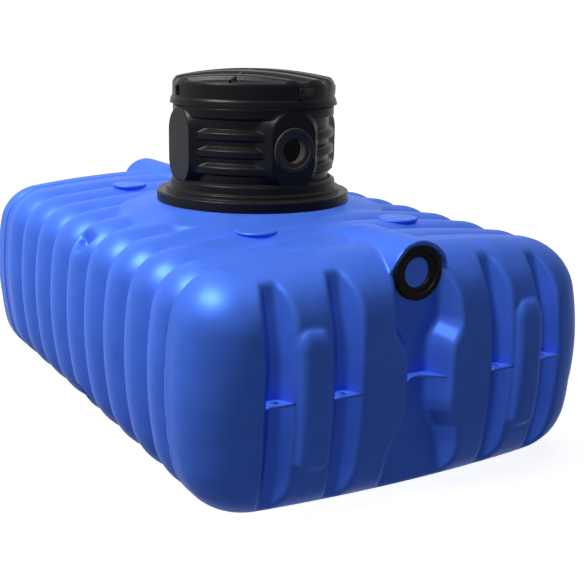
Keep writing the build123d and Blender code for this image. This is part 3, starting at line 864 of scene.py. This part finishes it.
def rib_rows():
    """Places along the barrel, closer together near the grooves."""
    t = np.linspace(-1, 1, ROW_STEPS + 1)[:-1]
    within = RIB_PITCH / 2 * (0.55 * t + 0.45 * np.sin(pi / 2 * t))
    crests = (np.arange(RIB_COUNT) + 0.5) * RIB_PITCH - BARREL_HALF
    rows = (crests[:, None] + within[None, :]).ravel()
    rows[0] = 0.5 - BARREL_HALF
    return np.concatenate([rows[:1], [5 - BARREL_HALF], rows[1:], [BARREL_HALF - 5, BARREL_HALF - 0.5]])


def arc_points(centre, radius, first, last, steps):
    """Points of an arc of the section and their outward directions."""
    angle = np.linspace(first, last, steps + 1)
    direction = np.stack([np.cos(angle), np.sin(angle)], 1)
    return np.array(centre) + radius * direction, direction


def whole_strip(parts):
    """Strip of the section from the right side to the left one, mirrored about the middle."""
    points = np.concatenate([part[0][:-1] for part in parts] + [parts[-1][0][-1:]])
    normals = np.concatenate([part[1][:-1] for part in parts] + [parts[-1][1][-1:]])
    flip = np.array([-1, 1])
    points = np.concatenate([points, points[-2::-1] * flip])
    normals = np.concatenate([normals, normals[-2::-1] * flip])
    return points, normals


def swept(strip, rows):
    """Grid of points and outward directions: a strip of the section at every row."""
    section, normal = strip
    count = len(rows)
    y = np.repeat(rows, len(section))
    points = np.stack([np.tile(section[:, 0], count), y, np.tile(section[:, 1], count)], 1)
    outward = np.stack([np.tile(normal[:, 0], count), 0 * y, np.tile(normal[:, 1], count)], 1)
    return points, outward, grid_faces(count, len(section))


def build_upper_shell(rule):
    """Roof and shoulders with the saddle and the humps' noses."""
    strip = whole_strip([
        arc_points(SHOULDER, SHOULDER_ARC, SIDE_TOP, ROOF_END, 30),
        arc_points(ROOF, ROOF_ARC, ROOF_END, pi / 2, 76),
    ])
    base, outward, faces = swept(strip, rib_rows())
    points = settle(base, outward, rule.barrel)
    rho = np.hypot(points[:, 0], points[:, 1])
    faces = faces[(rho[faces] > MANHOLE).any(1)]
    pull = np.where((rho < MANHOLE) & (rho > 1), MANHOLE / np.maximum(rho, 1), 1)
    points[:, :2] *= pull[:, None]
    points, faces, outward = compact(points, faces, outward)
    normals = slopes(rule.barrel, points)
    faces = facing(points, faces, outward)
    closed, all_faces = two_skins(points, points - outward * (WALL + 1), faces)
    # Inner faces take the darkened inside material: painted shade
    inside = (np.arange(len(all_faces)) >= len(faces)).astype(int)
    piece = make_piece(
        "upper_shell", closed, all_faces, [finish("shell"), finish("inside")],
        np.concatenate([normals, -outward]), inside=inside)
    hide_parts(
        "left_roof", "right_roof", "left_shoulder", "right_shoulder", "neck_saddle")


def build_pads():
    """Four round stacking pads that stand a little proud of the ribs."""
    corners = ((0.01, 846, 0.001), (62, 840, 2), (79, 864, 4), (74, 870, 4), (0.01, 870, 0.001))
    ring, rows, looks = turned(corners, 96)
    pieces = []
    for k, (x, y) in enumerate(PAD_PLACES):
        pieces.append((ring + np.array([x, y, 0]), rows + k * len(ring)))
    points = np.concatenate([part[0] for part in pieces])
    faces = np.concatenate([part[1] for part in pieces])
    piece = make_piece("roof_pads", points, faces, [finish("shell")], np.tile(looks, (4, 1)))
    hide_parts("stacking_pads")


def build_lower_shell(rule):
    """Walls, bilges and floor: one smooth wall that Geometry Nodes bends into ribs."""
    floor_x = np.linspace(BILGE[0], 0, 15)
    floor = (np.stack([floor_x, 0 * floor_x], 1), np.tile([0.0, -1.0], (15, 1)))
    strip = whole_strip([
        arc_points(SIDE, SIDE_ARC, SIDE_TOP, SIDE_BOTTOM, 20),
        arc_points(BILGE, BILGE_ARC, SIDE_BOTTOM, -pi / 2, 40),
        floor,
    ])
    base, outward, faces = swept(strip, rib_rows())
    faces = facing(base, faces, outward)
    count = len(base)
    doubled, all_faces = two_skins(base, base, faces)
    mesh = new_mesh("lower_shell.base", doubled, all_faces)
    set_attribute(mesh, "outward", np.concatenate([outward, outward]))
    set_attribute(mesh, "depth", np.repeat([0.0, WALL / 1000], count), "FLOAT")
    values = {
        "Rib Pitch": RIB_PITCH / 1000, "Rib Arc": RIB_ARC / 1000, "Half Row": BARREL_HALF / 1000,
        "Groove Rounding": rule.round_off / 1000, "Finish": finish("shell"),
    }
    _, ribbed = grown("lower_shell", mesh, ribs_tree(), values)
    points = ribbed[:count]
    off = np.abs(rule.barrel(*points.T)) > 0.3
    points[off] = settle(base[off], outward[off], rule.barrel)
    inner = np.minimum(
        np.einsum("ij,ij->i", ribbed[count:] - base, outward),
        np.einsum("ij,ij->i", points - base, outward) - WALL)
    inner = base + outward * inner[:, None]
    normals = np.concatenate([slopes(rule.barrel, points), -outward])
    # Inner faces take the darkened inside material: painted shade
    inside = (np.arange(len(all_faces)) >= len(faces)).astype(int)
    piece = make_piece(
        "lower_shell", np.concatenate([points, inner]), all_faces, [finish("shell"), finish("inside")],
        normals, inside=inside)
    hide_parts("left_wall", "right_wall", "left_bilge", "right_bilge", "floor")


def build_ends(rule):
    """Both rounded ends with their channels, fingers, recess and hood; the rear one is the mirror image."""

    for node, side in (("front", -1), ("rear", 1)):

        def form(x, y, z):
            return rule.end(x, side * y, z)[0]

        low, high = sorted((side * 930, side * 1310))
        points, faces = surface_net(form, (-840, low, -12), (842, high, 925), END_STEP)
        points = relaxed(points, faces, form)
        normals = slopes(form, points)
        _, outer, hollow = rule.end(points[:, 0], side * points[:, 1], points[:, 2])
        faces = facing(points, faces, normals)
        # Faces of the hollow take the darkened inside material: painted shade
        inner = (np.abs(hollow) < np.abs(outer))[faces].all(1).astype(int)
        materials = [finish("shell"), finish("inside")]
        piece = make_piece(node + "_end_shell", points, faces, materials, normals, inside=inner)
        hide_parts(node + "_end", node + "_hump")


def pierced_plate(thickness):
    """Template of a gusset: a plate that fills a channel, with a rounded hole and softened edges."""
    hole = np.array([0.0, -31.0])
    corners = np.array([(-24, -61), (24, -61), (52.5, -1), (-52.5, -1)], float) - hole
    angles = np.unique(np.concatenate([
        np.linspace(-pi, pi, 41)[:-1], np.arctan2(corners[:, 1], corners[:, 0])]))
    edge = []
    for angle in angles:
        way = np.array([cos(angle), sin(angle)])
        reach = 1e9
        for a, b in zip(corners, np.roll(corners, -1, axis=0)):
            run = b - a
            cross = way[0] * run[1] - way[1] * run[0]
            if abs(cross) > 1e-9:
                t = (a[0] * run[1] - a[1] * run[0]) / cross
                u = (a[0] * way[1] - a[1] * way[0]) / cross
                if t > 0 and -1e-6 <= u <= 1 + 1e-6:
                    reach = min(reach, t)
        edge.append(reach)
    edge = np.array(edge)
    half = thickness / 2
    rings = [
        (GUSSET_HOLE + 0 * edge, half - 1.5), (GUSSET_HOLE + 1.5 + 0 * edge, half),
        (edge - 2.0, half), (edge, half - 1.8),
    ]
    rings += [(reach, -level) for reach, level in reversed(rings)]
    points = []
    for reach, level in rings:
        for angle, out in zip(angles, reach):
            points.append((hole[0] + out * cos(angle), -(hole[1] + out * sin(angle)), level))
    count = len(angles)
    faces = grid_faces(len(rings) + 1, count, wrap=True) % (len(rings) * count)
    points = np.array(points)
    rim = points.reshape(len(rings), count, 3)[[2, 3]].mean(0) * 0.5
    spine = np.tile(np.stack([rim[:, 0], rim[:, 1] - 15, 0 * angles], 1), (len(rings), 1))
    return points, facing(points, faces, points - spine)


def build_gussets(thickness):
    """Pierced gussets of the channels and the hollow-fronted web of each recess."""
    plate = pierced_plate(thickness)
    for side, name in ((-1, "front"), (1, "rear")):
        places, turns = [], []
        for x in sorted(way * place for way in (-1, 1) for place, _ in CHANNELS):
            reach = FACE_CENTRE + sqrt(FACE_ARC**2 - x * x)
            turn = 0.5 * asin(x / FACE_ARC)
            places.append((x, side * reach, WIDEST))
            turns.append((0, 0, turn if side < 0 else pi - turn))
        piece = spread_copies(name + "_gusset_plates", plate, places, turns, finish("shell"))
        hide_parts(name + "_gussets")
        half = thickness / 2
        levels = [(share, half) for share in np.linspace(0, 1, 9)[:8]] + [(0.97, half), (1.0, half - 1.8)]
        loop = levels + [(share, -level) for share, level in reversed(levels)]
        points = []
        for x in np.linspace(-1, 1, WEB_STEPS):
            front = WEB_FRONT + WEB_HOLLOW * x * x
            for share, level in loop:
                y = WEB_BACK + (front - WEB_BACK) * share
                wide = WAIST + RECESS_FLARE * max(y - RECESS_FLOOR, 0)
                points.append((x * wide, side * y, WIDEST + level))
        count = len(loop)
        faces = grid_faces(WEB_STEPS, count, wrap=True)
        points = np.array(points)
        middle = np.repeat(points.reshape(WEB_STEPS, count, 3).mean(1), count, axis=0)
        faces = facing(points, faces, points - middle).tolist()
        turn = 1 if side < 0 else -1
        for start, way in ((0, -turn), ((WEB_STEPS - 1) * count, turn)):
            cap = [start + k for k in range(count)]
            faces.append(cap[::way])
        web = make_piece(name + "_recess_web", points, faces, [finish("shell")])
        recalculate(web)


# ---------------------------------------------------------------- seals, collar and shaft


def lip_seal(
        name, outer, mouth, lip, sleeve, flange, face, height, back, replaces, rear=False, paint="rubber"):
    """Rubber ring with a dished mouth, a rounded lip and a sleeve through the wall."""
    corners = (
        (outer, -face, 1.0), (outer - 1, -face - flange * 0.7, 3.0), (outer - 5, -face - flange, 4.0),
        (mouth + 7, -face - flange, 3.0), (mouth + 3, -face - flange * 0.5, 2.0),
        (lip + 5, -face - flange * 0.42, 3.0), (lip, -face - flange * 0.05, 2.5), (lip + 1, -face + 5, 2.0),
        (sleeve - 4, -face + 9, 2.0), (sleeve - 4, -face + back, 1.0),
        (sleeve, -face + back, 1.0), (sleeve, -face + 0.2, 0.6),
    )
    points, faces, normals = turned(corners, 144, axis="Y")
    points = points + np.array([0, 0, height])
    if rear:
        flip = np.array([1, -1, 1])
        points, normals, faces = points * flip, normals * flip, faces[:, ::-1]
    faces = facing(points, faces, normals)
    piece = make_piece(name, points, faces, [finish(paint)], normals)
    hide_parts(replaces)


def build_collar():
    """Stepped collar round the foot of the shaft, with rounded edges."""
    corners = (
        (SHAFT_BORE, SADDLE, 2), (405, SADDLE, 2), (405, SADDLE + 43, 9), (369, SADDLE + 43, 5),
        (366, SADDLE + 61, 6), (348, SADDLE + 61, 4), (345, SADDLE + 92, 4), (331, SADDLE + 102, 3),
        (SHAFT_BORE, SADDLE + 102, 2),
    )
    points, faces, normals = turned(corners, 300)
    piece = make_piece("collar", points, faces, [finish("black")], normals)
    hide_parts("shaft_collar")


def shaft_profile():
    """Radius of the shaft at every millimetre above the saddle; marks are heights and rises of its ribs."""
    marks = [(80, 0)]
    for middle in (157, 224, 292):
        marks += [(middle - 23, 0), (middle - 20, 19), (middle - 16, 21), (middle + 6, 21)]
        marks += [(middle + 9, 19.5), (middle + 22, 3), (middle + 23, 0)]
    marks += [(352, 0), (356, 18), (360, 21), (392, 21), (396, 19), (399, 0), (500, 0)]
    heights = np.arange(80, 500)
    radius = np.interp(heights, [m[0] for m in marks], [SHAFT_GROOVE + m[1] for m in marks])
    kernel = np.array([1, 2, 1]) / 4
    return heights, np.convolve(np.pad(radius, 1, mode="edge"), kernel, mode="valid")


def shaft_rule():
    """Surface of the ribbed shaft with its four flared ports."""
    heights, radii = shaft_profile()

    def rule(x, y, z):
        h = z - SADDLE
        form = np.hypot(x, y) - np.interp(h, heights, radii)
        lift = np.maximum(np.abs(h - PORT_MIDDLE) - PORT_STRAIGHT, 0)
        for out, aside in ((-y, x), (x, y), (y, x), (-x, y)):
            outline = np.hypot(aside, lift) - PORT_RADIUS
            face = out - PORT_FACE + 1.6 * ease((-2 - outline) / 4)
            flare = (outline - 0.7 * (PORT_FACE - out)) * 0.82
            port = np.where(out > 0, soft_max(face, flare, 7), 99)
            form = soft_min(form, port, 7)
        return form

    return rule


def joined_rims(first, second):
    """Triangles between two closed rims, each given as its points and their angles in rising order."""
    (a, turn_a), (b, turn_b) = first, second
    i = j = 0
    faces = []
    while i < len(a) or j < len(b):
        next_a = turn_a[(i + 1) % len(a)] + 2 * pi * ((i + 1) // len(a))
        next_b = turn_b[(j + 1) % len(b)] + 2 * pi * ((j + 1) // len(b))
        if j >= len(b) or (i < len(a) and next_a <= next_b):
            faces.append((a[i % len(a)], a[(i + 1) % len(a)], b[j % len(b)]))
            i += 1
        else:
            faces.append((a[i % len(a)], b[(j + 1) % len(b)], b[j % len(b)]))
            j += 1
    return np.array(faces)


def build_shaft():
    """Shaft wall with its ribs and ports, hollow, with the front port bored for its seal."""
    rule = shaft_rule()
    segments, rows = 560, 126
    low, high = SADDLE + 101, SADDLE + 470
    angle = np.arange(segments) * 2 * pi / segments
    heights = np.linspace(low, high, rows)
    around, up = np.meshgrid(angle, heights)
    base = np.stack([300 * np.cos(around), 300 * np.sin(around), up], -1).reshape(-1, 3)
    outward = np.stack([np.cos(around), np.sin(around), 0 * up], -1).reshape(-1, 3)
    points = settle(base, outward, rule, 0, 90)
    normals = slopes(rule, points, 0.8)
    faces = grid_faces(rows, segments, wrap=True)
    inner_heights = np.concatenate([[low], np.linspace(SADDLE + 176, SADDLE + 298, 15), [high]])
    around, up = np.meshgrid(angle, inner_heights)
    inner = np.stack([SHAFT_BORE * np.cos(around), SHAFT_BORE * np.sin(around), up], -1).reshape(-1, 3)
    inner_faces = grid_faces(len(inner_heights), segments, wrap=True)[:, ::-1]

    def bored(places, rows_of):
        """The wall without the faces in the front port's hole, and drawn out to its edge."""
        far = np.hypot(places[:, 0], places[:, 2] - SADDLE - PORT_MIDDLE)
        far = np.where(places[:, 1] < 0, far, 999)
        kept = rows_of[(far[rows_of] > PORT_HOLE).any(1)]
        pull = (far < PORT_HOLE) & (far > 0.1)
        centre = np.array([0, SADDLE + PORT_MIDDLE])
        places[pull[:, None] * np.array([True, False, True])] = (
            centre + (places[pull][:, [0, 2]] - centre) * (PORT_HOLE / far[pull])[:, None]).ravel()
        return places, kept

    points, faces = bored(points, faces)
    inner, inner_faces = bored(inner, inner_faces)
    count = len(points)
    faces = facing(points, faces, outward)
    inner_faces = facing(inner, inner_faces, -inner * np.array([1, 1, 0]))
    everything = np.concatenate([points, inner])
    looks = np.concatenate([normals, -inner / SHAFT_BORE * np.array([1, 1, 0])])
    inner_faces = inner_faces + count
    ring = np.arange(segments)
    right = (ring + 1) % segments
    top_outer, top_inner = (rows - 1) * segments, count + (len(inner_heights) - 1) * segments
    top = np.stack([top_outer + ring, top_outer + right, top_inner + right, top_inner + ring], 1)
    bottom = np.stack([ring, count + ring, count + right, right], 1)
    axis = np.array([0, 0, SADDLE + PORT_MIDDLE])
    rims = []
    for part in (faces, inner_faces):
        rim = np.unique(open_edges(part, len(everything)))
        rim = rim[(everything[rim, 2] > low + 1) & (everything[rim, 2] < high - 1)]
        turn = np.arctan2(everything[rim, 2] - axis[2], everything[rim, 0])
        rims.append((rim[np.argsort(turn)], np.sort(turn)))
    walls = facing(everything, joined_rims(*rims), (axis - everything) * np.array([1, 0, 1]))
    walls = np.concatenate([walls, walls[:, -1:]], 1)
    parts = [faces, inner_faces, top, bottom, walls]
    # The inner wall and the port bore's walls get the darkened black: painted shade
    painted_shade_faces = np.concatenate([np.full(len(part), k in (1, 4), int) for k, part in enumerate(parts)])
    everything, all_faces, looks = compact(everything, np.concatenate(parts), looks)
    all_faces = [list(dict.fromkeys(row)) for row in all_faces.tolist()]
    materials = [finish("black"), finish("black painted shade")]
    piece = make_piece("shaft", everything, all_faces, materials, looks, inside=painted_shade_faces)
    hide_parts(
        "shaft_front_left", "shaft_front_right", "shaft_rear_left", "shaft_rear_right",
        "front_port", "rear_port", "left_port", "right_port")


# ---------------------------------------------------------------- the lid


def dome_height(r):
    """Height of the lid's dome above the saddle."""
    return LID_CROWN - DOME_ARC + np.sqrt(DOME_ARC**2 - np.minimum(r, LID_RIM[0] + 6.0) ** 2)


def trough_drop(x, y, depth):
    """How deep the troughs and the two lens recesses of the lid are at a place."""
    f = (x + y) / sqrt(2)
    r = np.hypot(x, y)
    arc = (37**2 + depth**2) / (2 * depth)
    drop = np.zeros_like(x)
    for place in TROUGH_PLACES:
        off = np.abs(f - place)
        dish = np.sqrt(np.maximum(arc**2 - off**2, 0)) - (arc - depth)
        drop = np.maximum(drop, soft_max(dish, 0 * dish, 2.0))
    drop = drop * (1 - 0.55 * ease((r - 296) / 34))
    lens = 1.2 * depth * ease((np.abs(f) - 240) / 16) * ease((330 - r) / 15)
    return np.maximum(drop, lens)


def build_lid(depth):
    """Domed lid with its troughs, rounded rim, upright wall and flared lip, closed underneath."""
    segments = 320
    top_r = np.concatenate([np.linspace(0, 300, 84)[1:], np.linspace(302, 312, 5)])
    top = [(r, float(dome_height(r))) for r in top_r]
    outline, _ = rounded_profile((
        (312, float(dome_height(312.0)), 0.5), (LID_RIM[0] + 3, LID_RIM[1] - 1, 7), (337, 488, 10),
        (338, 431, 6), (344, 424, 5), (349, 401, 2.5), (342, 401, 2), (331, 430, 4), (331, LID_SEAT, 1.5),
        (SHAFT_BORE, LID_SEAT, 1.5), (SHAFT_BORE - 4, float(dome_height(304.0)) - LID_THICK, 3),
    ))
    side = [tuple(p) for p in outline[5:]]
    under = [(r, float(dome_height(r)) - LID_THICK) for r in np.linspace(296, 0, 10)[:-1]]
    rows = top + side + under
    angle = np.arange(segments) * 2 * pi / segments
    r = np.array([row[0] for row in rows])[:, None] * np.ones(segments)
    h = np.array([row[1] for row in rows])[:, None] * np.ones(segments)
    x, y = r * np.cos(angle), r * np.sin(angle)
    above = (np.arange(len(rows)) < len(top) + 9)[:, None]
    h = h - np.where(above, trough_drop(x, y, depth), 0)
    points = np.stack([x, y, SADDLE + h], -1).reshape(-1, 3)
    faces = grid_faces(len(rows), segments, wrap=True)
    outward = np.repeat((np.arange(len(rows)) < len(top)).astype(float), segments)
    guide = np.stack([0 * outward, 0 * outward, outward], 1)
    faces = facing(points, faces, guide).tolist()
    centre = [[0, 0, SADDLE + LID_CROWN], [0, 0, SADDLE + LID_CROWN - LID_THICK]]
    count = len(points)
    last = (len(rows) - 1) * segments
    for j in range(segments):
        k = (j + 1) % segments
        faces.append([count, j, k])
        faces.append([count + 1, last + k, last + j])
    piece = make_piece("lid_cover", np.concatenate([points, centre]), faces, [finish("black")], body="lid")
    recalculate(piece)
    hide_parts("lid")


def loft(sections):
    """Closed form through sections of equal point counts, capped at both ends."""
    rows, count = len(sections), len(sections[0])
    points = np.concatenate(sections)
    faces = grid_faces(rows, count, wrap=True)
    middle = np.repeat(np.array([s.mean(0) for s in sections]), count, axis=0)
    faces = facing(points, faces, points - middle).tolist()
    first, last = list(range(count)), [(rows - 1) * count + k for k in range(count)]
    if faces[0][1] == faces[0][0] + 1 or faces[0][0] == faces[0][1] + count:
        first = first[::-1]
    else:
        last = last[::-1]
    return points, faces + [first, last]


def build_lid_details(depth):
    """Small roof-shaped webs across the troughs, and the lugs round the lid's wall."""
    half = [(-8, -3), (-7, -3), (-4, depth * 0.5), (-1.6, depth - 1.6), (0, depth - 1.0)]
    outline = half + [(-a, b) for a, b in reversed(half[:-1])]
    sections = [np.array([(x, a, b) for a, b in outline], float) for x in np.linspace(-35, 35, 13)]
    places, turns = [], []
    for f in (-281,) + TROUGH_PLACES + (281,):
        drop = depth - 0.4
        places.append((f / sqrt(2), f / sqrt(2), SADDLE + float(dome_height(abs(f))) - drop))
        turns.append((0, asin(f / DOME_ARC), pi / 4))
    webs = spread_copies("lid_trough_webs", loft(sections), places, turns, finish("black"), body="lid")
    sections = []
    for level, wide, deep in (
        (0, 9.5, 7), (1.5, 10.2, 8.5), (6, 10, 9), (9, 7.8, 9.5), (24, 7.5, 10), (37, 7.2, 10),
        (41, 6, 8.6), (43.5, 3.4, 5.5), (44, 1, 1.5),
    ):
        ring = []
        for k in range(16):
            a = 2 * pi * k / 16
            c, s = cos(a), sin(a)
            across = wide * abs(c) ** 0.5 * (1 if c > 0 else -1)
            ring.append((across, deep * s**0.5 if s > 0 else 2.5 * s, level))
        sections.append(np.array(ring))
    places, turns = [], []
    for angle in LUG_ANGLES:
        way = (sin(radians(angle)), -cos(radians(angle)))
        places.append((337.5 * way[0], 337.5 * way[1], SADDLE + 436))
        turns.append((0, 0, atan2(way[1], way[0]) - pi / 2))
    lugs = spread_copies("lid_wall_lugs", loft(sections), places, turns, finish("black"), body="lid")
    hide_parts("lid_lugs")


# ---------------------------------------------------------------- stage


def area_lamp(name, toward, distance, size, level, shadow=False, mirrored=False, soft=True):
    """Soft square lamp that looks at the tank from a direction; level 1 lights a white wall fully."""
    target = Vector((0, 0, 0.6))
    way = Vector(toward).normalized()
    data = bpy.data.lights.new(name, "AREA")
    data.size = size
    data.energy = pi * pi * distance**2 * level
    data.use_shadow = shadow
    lamp = linked(name, data)
    lamp.visible_glossy = mirrored
    lamp.visible_diffuse = soft
    lamp.location = target + way * distance
    lamp.rotation_euler = (-way).to_track_quat("-Z", "Y").to_euler()


def shown_or_lighting(tree, lighting, shown, output):
    """One shader for rays that show the background (seen, mirrored or through glass), another for light."""
    path = tree.nodes.new("ShaderNodeLightPath")
    mask = math_node(tree, "MAXIMUM", path.outputs["Is Camera Ray"], path.outputs["Is Glossy Ray"])
    mask = math_node(tree, "MAXIMUM", mask, path.outputs["Is Transmission Ray"])
    mix = tree.nodes.new("ShaderNodeMixShader")
    for socket, source in zip(mix.inputs, (mask, lighting.outputs[0], shown.outputs[0])):
        tree.links.new(source, socket)
    tree.links.new(mix.outputs[0], tree.nodes[output].inputs["Surface"])


def build_surroundings(scene):
    """White background that lights the tank only faintly."""
    scene.world = bpy.data.worlds.new("surroundings")
    scene.world.use_nodes = True
    tree = scene.world.node_tree
    shown, faint = tree.nodes["Background"], tree.nodes.new("ShaderNodeBackground")
    for node, colour, strength in ((shown, (1, 1, 1, 1), 1.0), (faint, (0.82, 0.88, 1.0, 1), 0.04)):
        node.inputs["Color"].default_value = colour
        node.inputs["Strength"].default_value = strength
    shown_or_lighting(tree, faint, shown, "World Output")


def build_floor():
    """Plain floor that turns white away from the tank and keeps its shadow."""
    material = bpy.data.materials.new("pale_floor")
    material.use_nodes = True
    tree = material.node_tree
    tree.nodes.remove(tree.nodes["Principled BSDF"])
    bright, plain = tree.nodes.new("ShaderNodeBsdfDiffuse"), tree.nodes.new("ShaderNodeBsdfDiffuse")
    bright.inputs["Color"].default_value = (0.6, 0.6, 0.61, 1)
    plain.inputs["Color"].default_value = (0.12, 0.12, 0.125, 1)
    far = tree.nodes.new("ShaderNodeVectorMath")
    far.operation = "LENGTH"
    tree.links.new(tree.nodes.new("ShaderNodeTexCoord").outputs["Object"], far.inputs[0])
    spread = tree.nodes.new("ShaderNodeMapRange")
    for socket, value in zip(spread.inputs, (far.outputs["Value"], 1.8, 4.5, 0.62, 1.0)):
        feed(tree, socket, value)
    glow = tree.nodes.new("ShaderNodeEmission")
    tree.links.new(spread.outputs[0], glow.inputs["Strength"])
    both = tree.nodes.new("ShaderNodeAddShader")
    tree.links.new(bright.outputs[0], both.inputs[0])
    tree.links.new(glow.outputs[0], both.inputs[1])
    shown_or_lighting(tree, plain, both, "Material Output")
    reach = FLOOR_REACH
    corners = [(-reach, -reach, -1), (reach, -reach, -1), (reach, reach, -1), (-reach, reach, -1)]
    mesh = new_mesh("floor_plane", corners, [(0, 1, 2, 3)])
    mesh.materials.append(material)
    ground = linked("floor_plane", mesh)


def build_camera(scene):
    """The camera of the photograph."""
    data = bpy.data.cameras.new("camera")
    data.sensor_width = 36
    data.lens = CAMERA_LENS
    camera = linked("camera", data)
    yaw, pitch, roll = (radians(angle) for angle in CAMERA_TURN)
    forward = Vector((sin(yaw) * cos(pitch), cos(yaw) * cos(pitch), -sin(pitch)))
    level = Vector((cos(yaw), -sin(yaw), 0))
    down = forward.cross(level)
    across = cos(roll) * level + sin(roll) * down
    lower = -sin(roll) * level + cos(roll) * down
    turn = Matrix((across, -lower, -forward)).transposed().to_4x4()
    camera.matrix_world = Matrix.Translation(CAMERA_PLACE) @ turn
    scene.camera = camera


def build_stage():
    """Pale floor, white surroundings, soft lamps and the camera."""
    scene = bpy.context.scene
    scene.view_settings.view_transform = "Standard"
    build_surroundings(scene)
    build_floor()
    area_lamp("back_lamp", (-0.45, 0.66, 0.62), 5.0, 1.1, 0.18)
    area_lamp("side_lamp", (-0.68, 0.16, 0.71), 6.0, 1.4, 0.84)
    area_lamp("gloss_lamp", (-0.56, 0.02, 0.83), 6.0, 2.2, 2.4, mirrored=True, soft=False)
    area_lamp("top_lamp", (0.0, -0.05, 1.0), 6.0, 5.0, 0.40, shadow=True, mirrored=True)
    build_camera(scene)


# ---------------------------------------------------------------- operators and panel


class TANK_OT_shell(bpy.types.Operator):
    """Build the ribbed shell: its upper and lower halves and both rounded ends"""

    bl_idname = "tank.shell"
    bl_label = "Build Shell"

    def execute(self, context):
        rule = ShellRule(context.scene.tank_sizes)
        build_upper_shell(rule)
        build_pads()
        build_lower_shell(rule)
        build_ends(rule)
        return {"FINISHED"}


class TANK_OT_gussets(bpy.types.Operator):
    """Build the pierced gussets and the webs of both ends"""

    bl_idname = "tank.gussets"
    bl_label = "Build Gussets"

    def execute(self, context):
        build_gussets(context.scene.tank_sizes.gusset_thickness * 1000)
        return {"FINISHED"}


class TANK_OT_seals(bpy.types.Operator):
    """Build the rubber lip seals of both ends and of the front port"""

    bl_idname = "tank.seals"
    bl_label = "Build Seals"

    def execute(self, context):
        ring = (96, 68, 51, 61.5, 15, RECESS_FLOOR, SEAL_HEIGHT, 18)
        lip_seal("front_seal", *ring, "front_pipe_seal")
        lip_seal("rear_seal", *ring, "rear_pipe_seal", rear=True)
        lip_seal(
            "port_seal", 90, 64, 48, 56.5, 8.6, PORT_FACE - 1.6, SADDLE + PORT_MIDDLE, 42, "front_port_seal",
            paint="port rubber")
        return {"FINISHED"}


class TANK_OT_shaft(bpy.types.Operator):
    """Build the collar and the ribbed shaft with its four ports"""

    bl_idname = "tank.shaft"
    bl_label = "Build Shaft"

    def execute(self, context):
        build_collar()
        build_shaft()
        return {"FINISHED"}


class TANK_OT_lid(bpy.types.Operator):
    """Build the lift-off lid with its troughs, webs and lugs"""

    bl_idname = "tank.lid"
    bl_label = "Build Lid"

    def execute(self, context):
        depth = context.scene.tank_sizes.trough_depth * 1000
        build_lid(depth)
        build_lid_details(depth)
        return {"FINISHED"}


class TANK_OT_stage(bpy.types.Operator):
    """Set up the floor, the lamps and the camera"""

    bl_idname = "tank.stage"
    bl_label = "Set Up Stage"

    def execute(self, context):
        build_stage()
        return {"FINISHED"}


class TANK_PT_panel(bpy.types.Panel):
    """Sizes, finishes and building steps of the tank"""

    bl_label = "Water Tank"
    bl_idname = "TANK_PT_panel"
    bl_space_type = "VIEW_3D"
    bl_region_type = "UI"
    bl_category = "Water Tank"

    def draw(self, context):
        layout = self.layout
        for group in (context.scene.tank_sizes, context.scene.tank_finish):
            box = layout.box()
            for key in group.__annotations__:
                box.prop(group, key)
        for step in STEPS:
            layout.operator(step.bl_idname)


STEPS = (TANK_OT_stage, TANK_OT_shell, TANK_OT_gussets, TANK_OT_seals, TANK_OT_shaft, TANK_OT_lid)
CLASSES = (TankSizes, TankFinish) + STEPS + (TANK_PT_panel,)


def register():
    for kind in CLASSES:
        bpy.utils.register_class(kind)
    bpy.types.Scene.tank_sizes = bpy.props.PointerProperty(type=TankSizes)
    bpy.types.Scene.tank_finish = bpy.props.PointerProperty(type=TankFinish)


def unregister():
    del bpy.types.Scene.tank_finish
    del bpy.types.Scene.tank_sizes
    for kind in reversed(CLASSES):
        bpy.utils.unregister_class(kind)


def main():
    """Register the add-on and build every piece."""
    register()
    bpy.ops.tank.stage()
    bpy.ops.tank.shell()
    bpy.ops.tank.gussets()
    bpy.ops.tank.seals()
    bpy.ops.tank.shaft()
    bpy.ops.tank.lid()


if __name__ == "__main__":
    main()
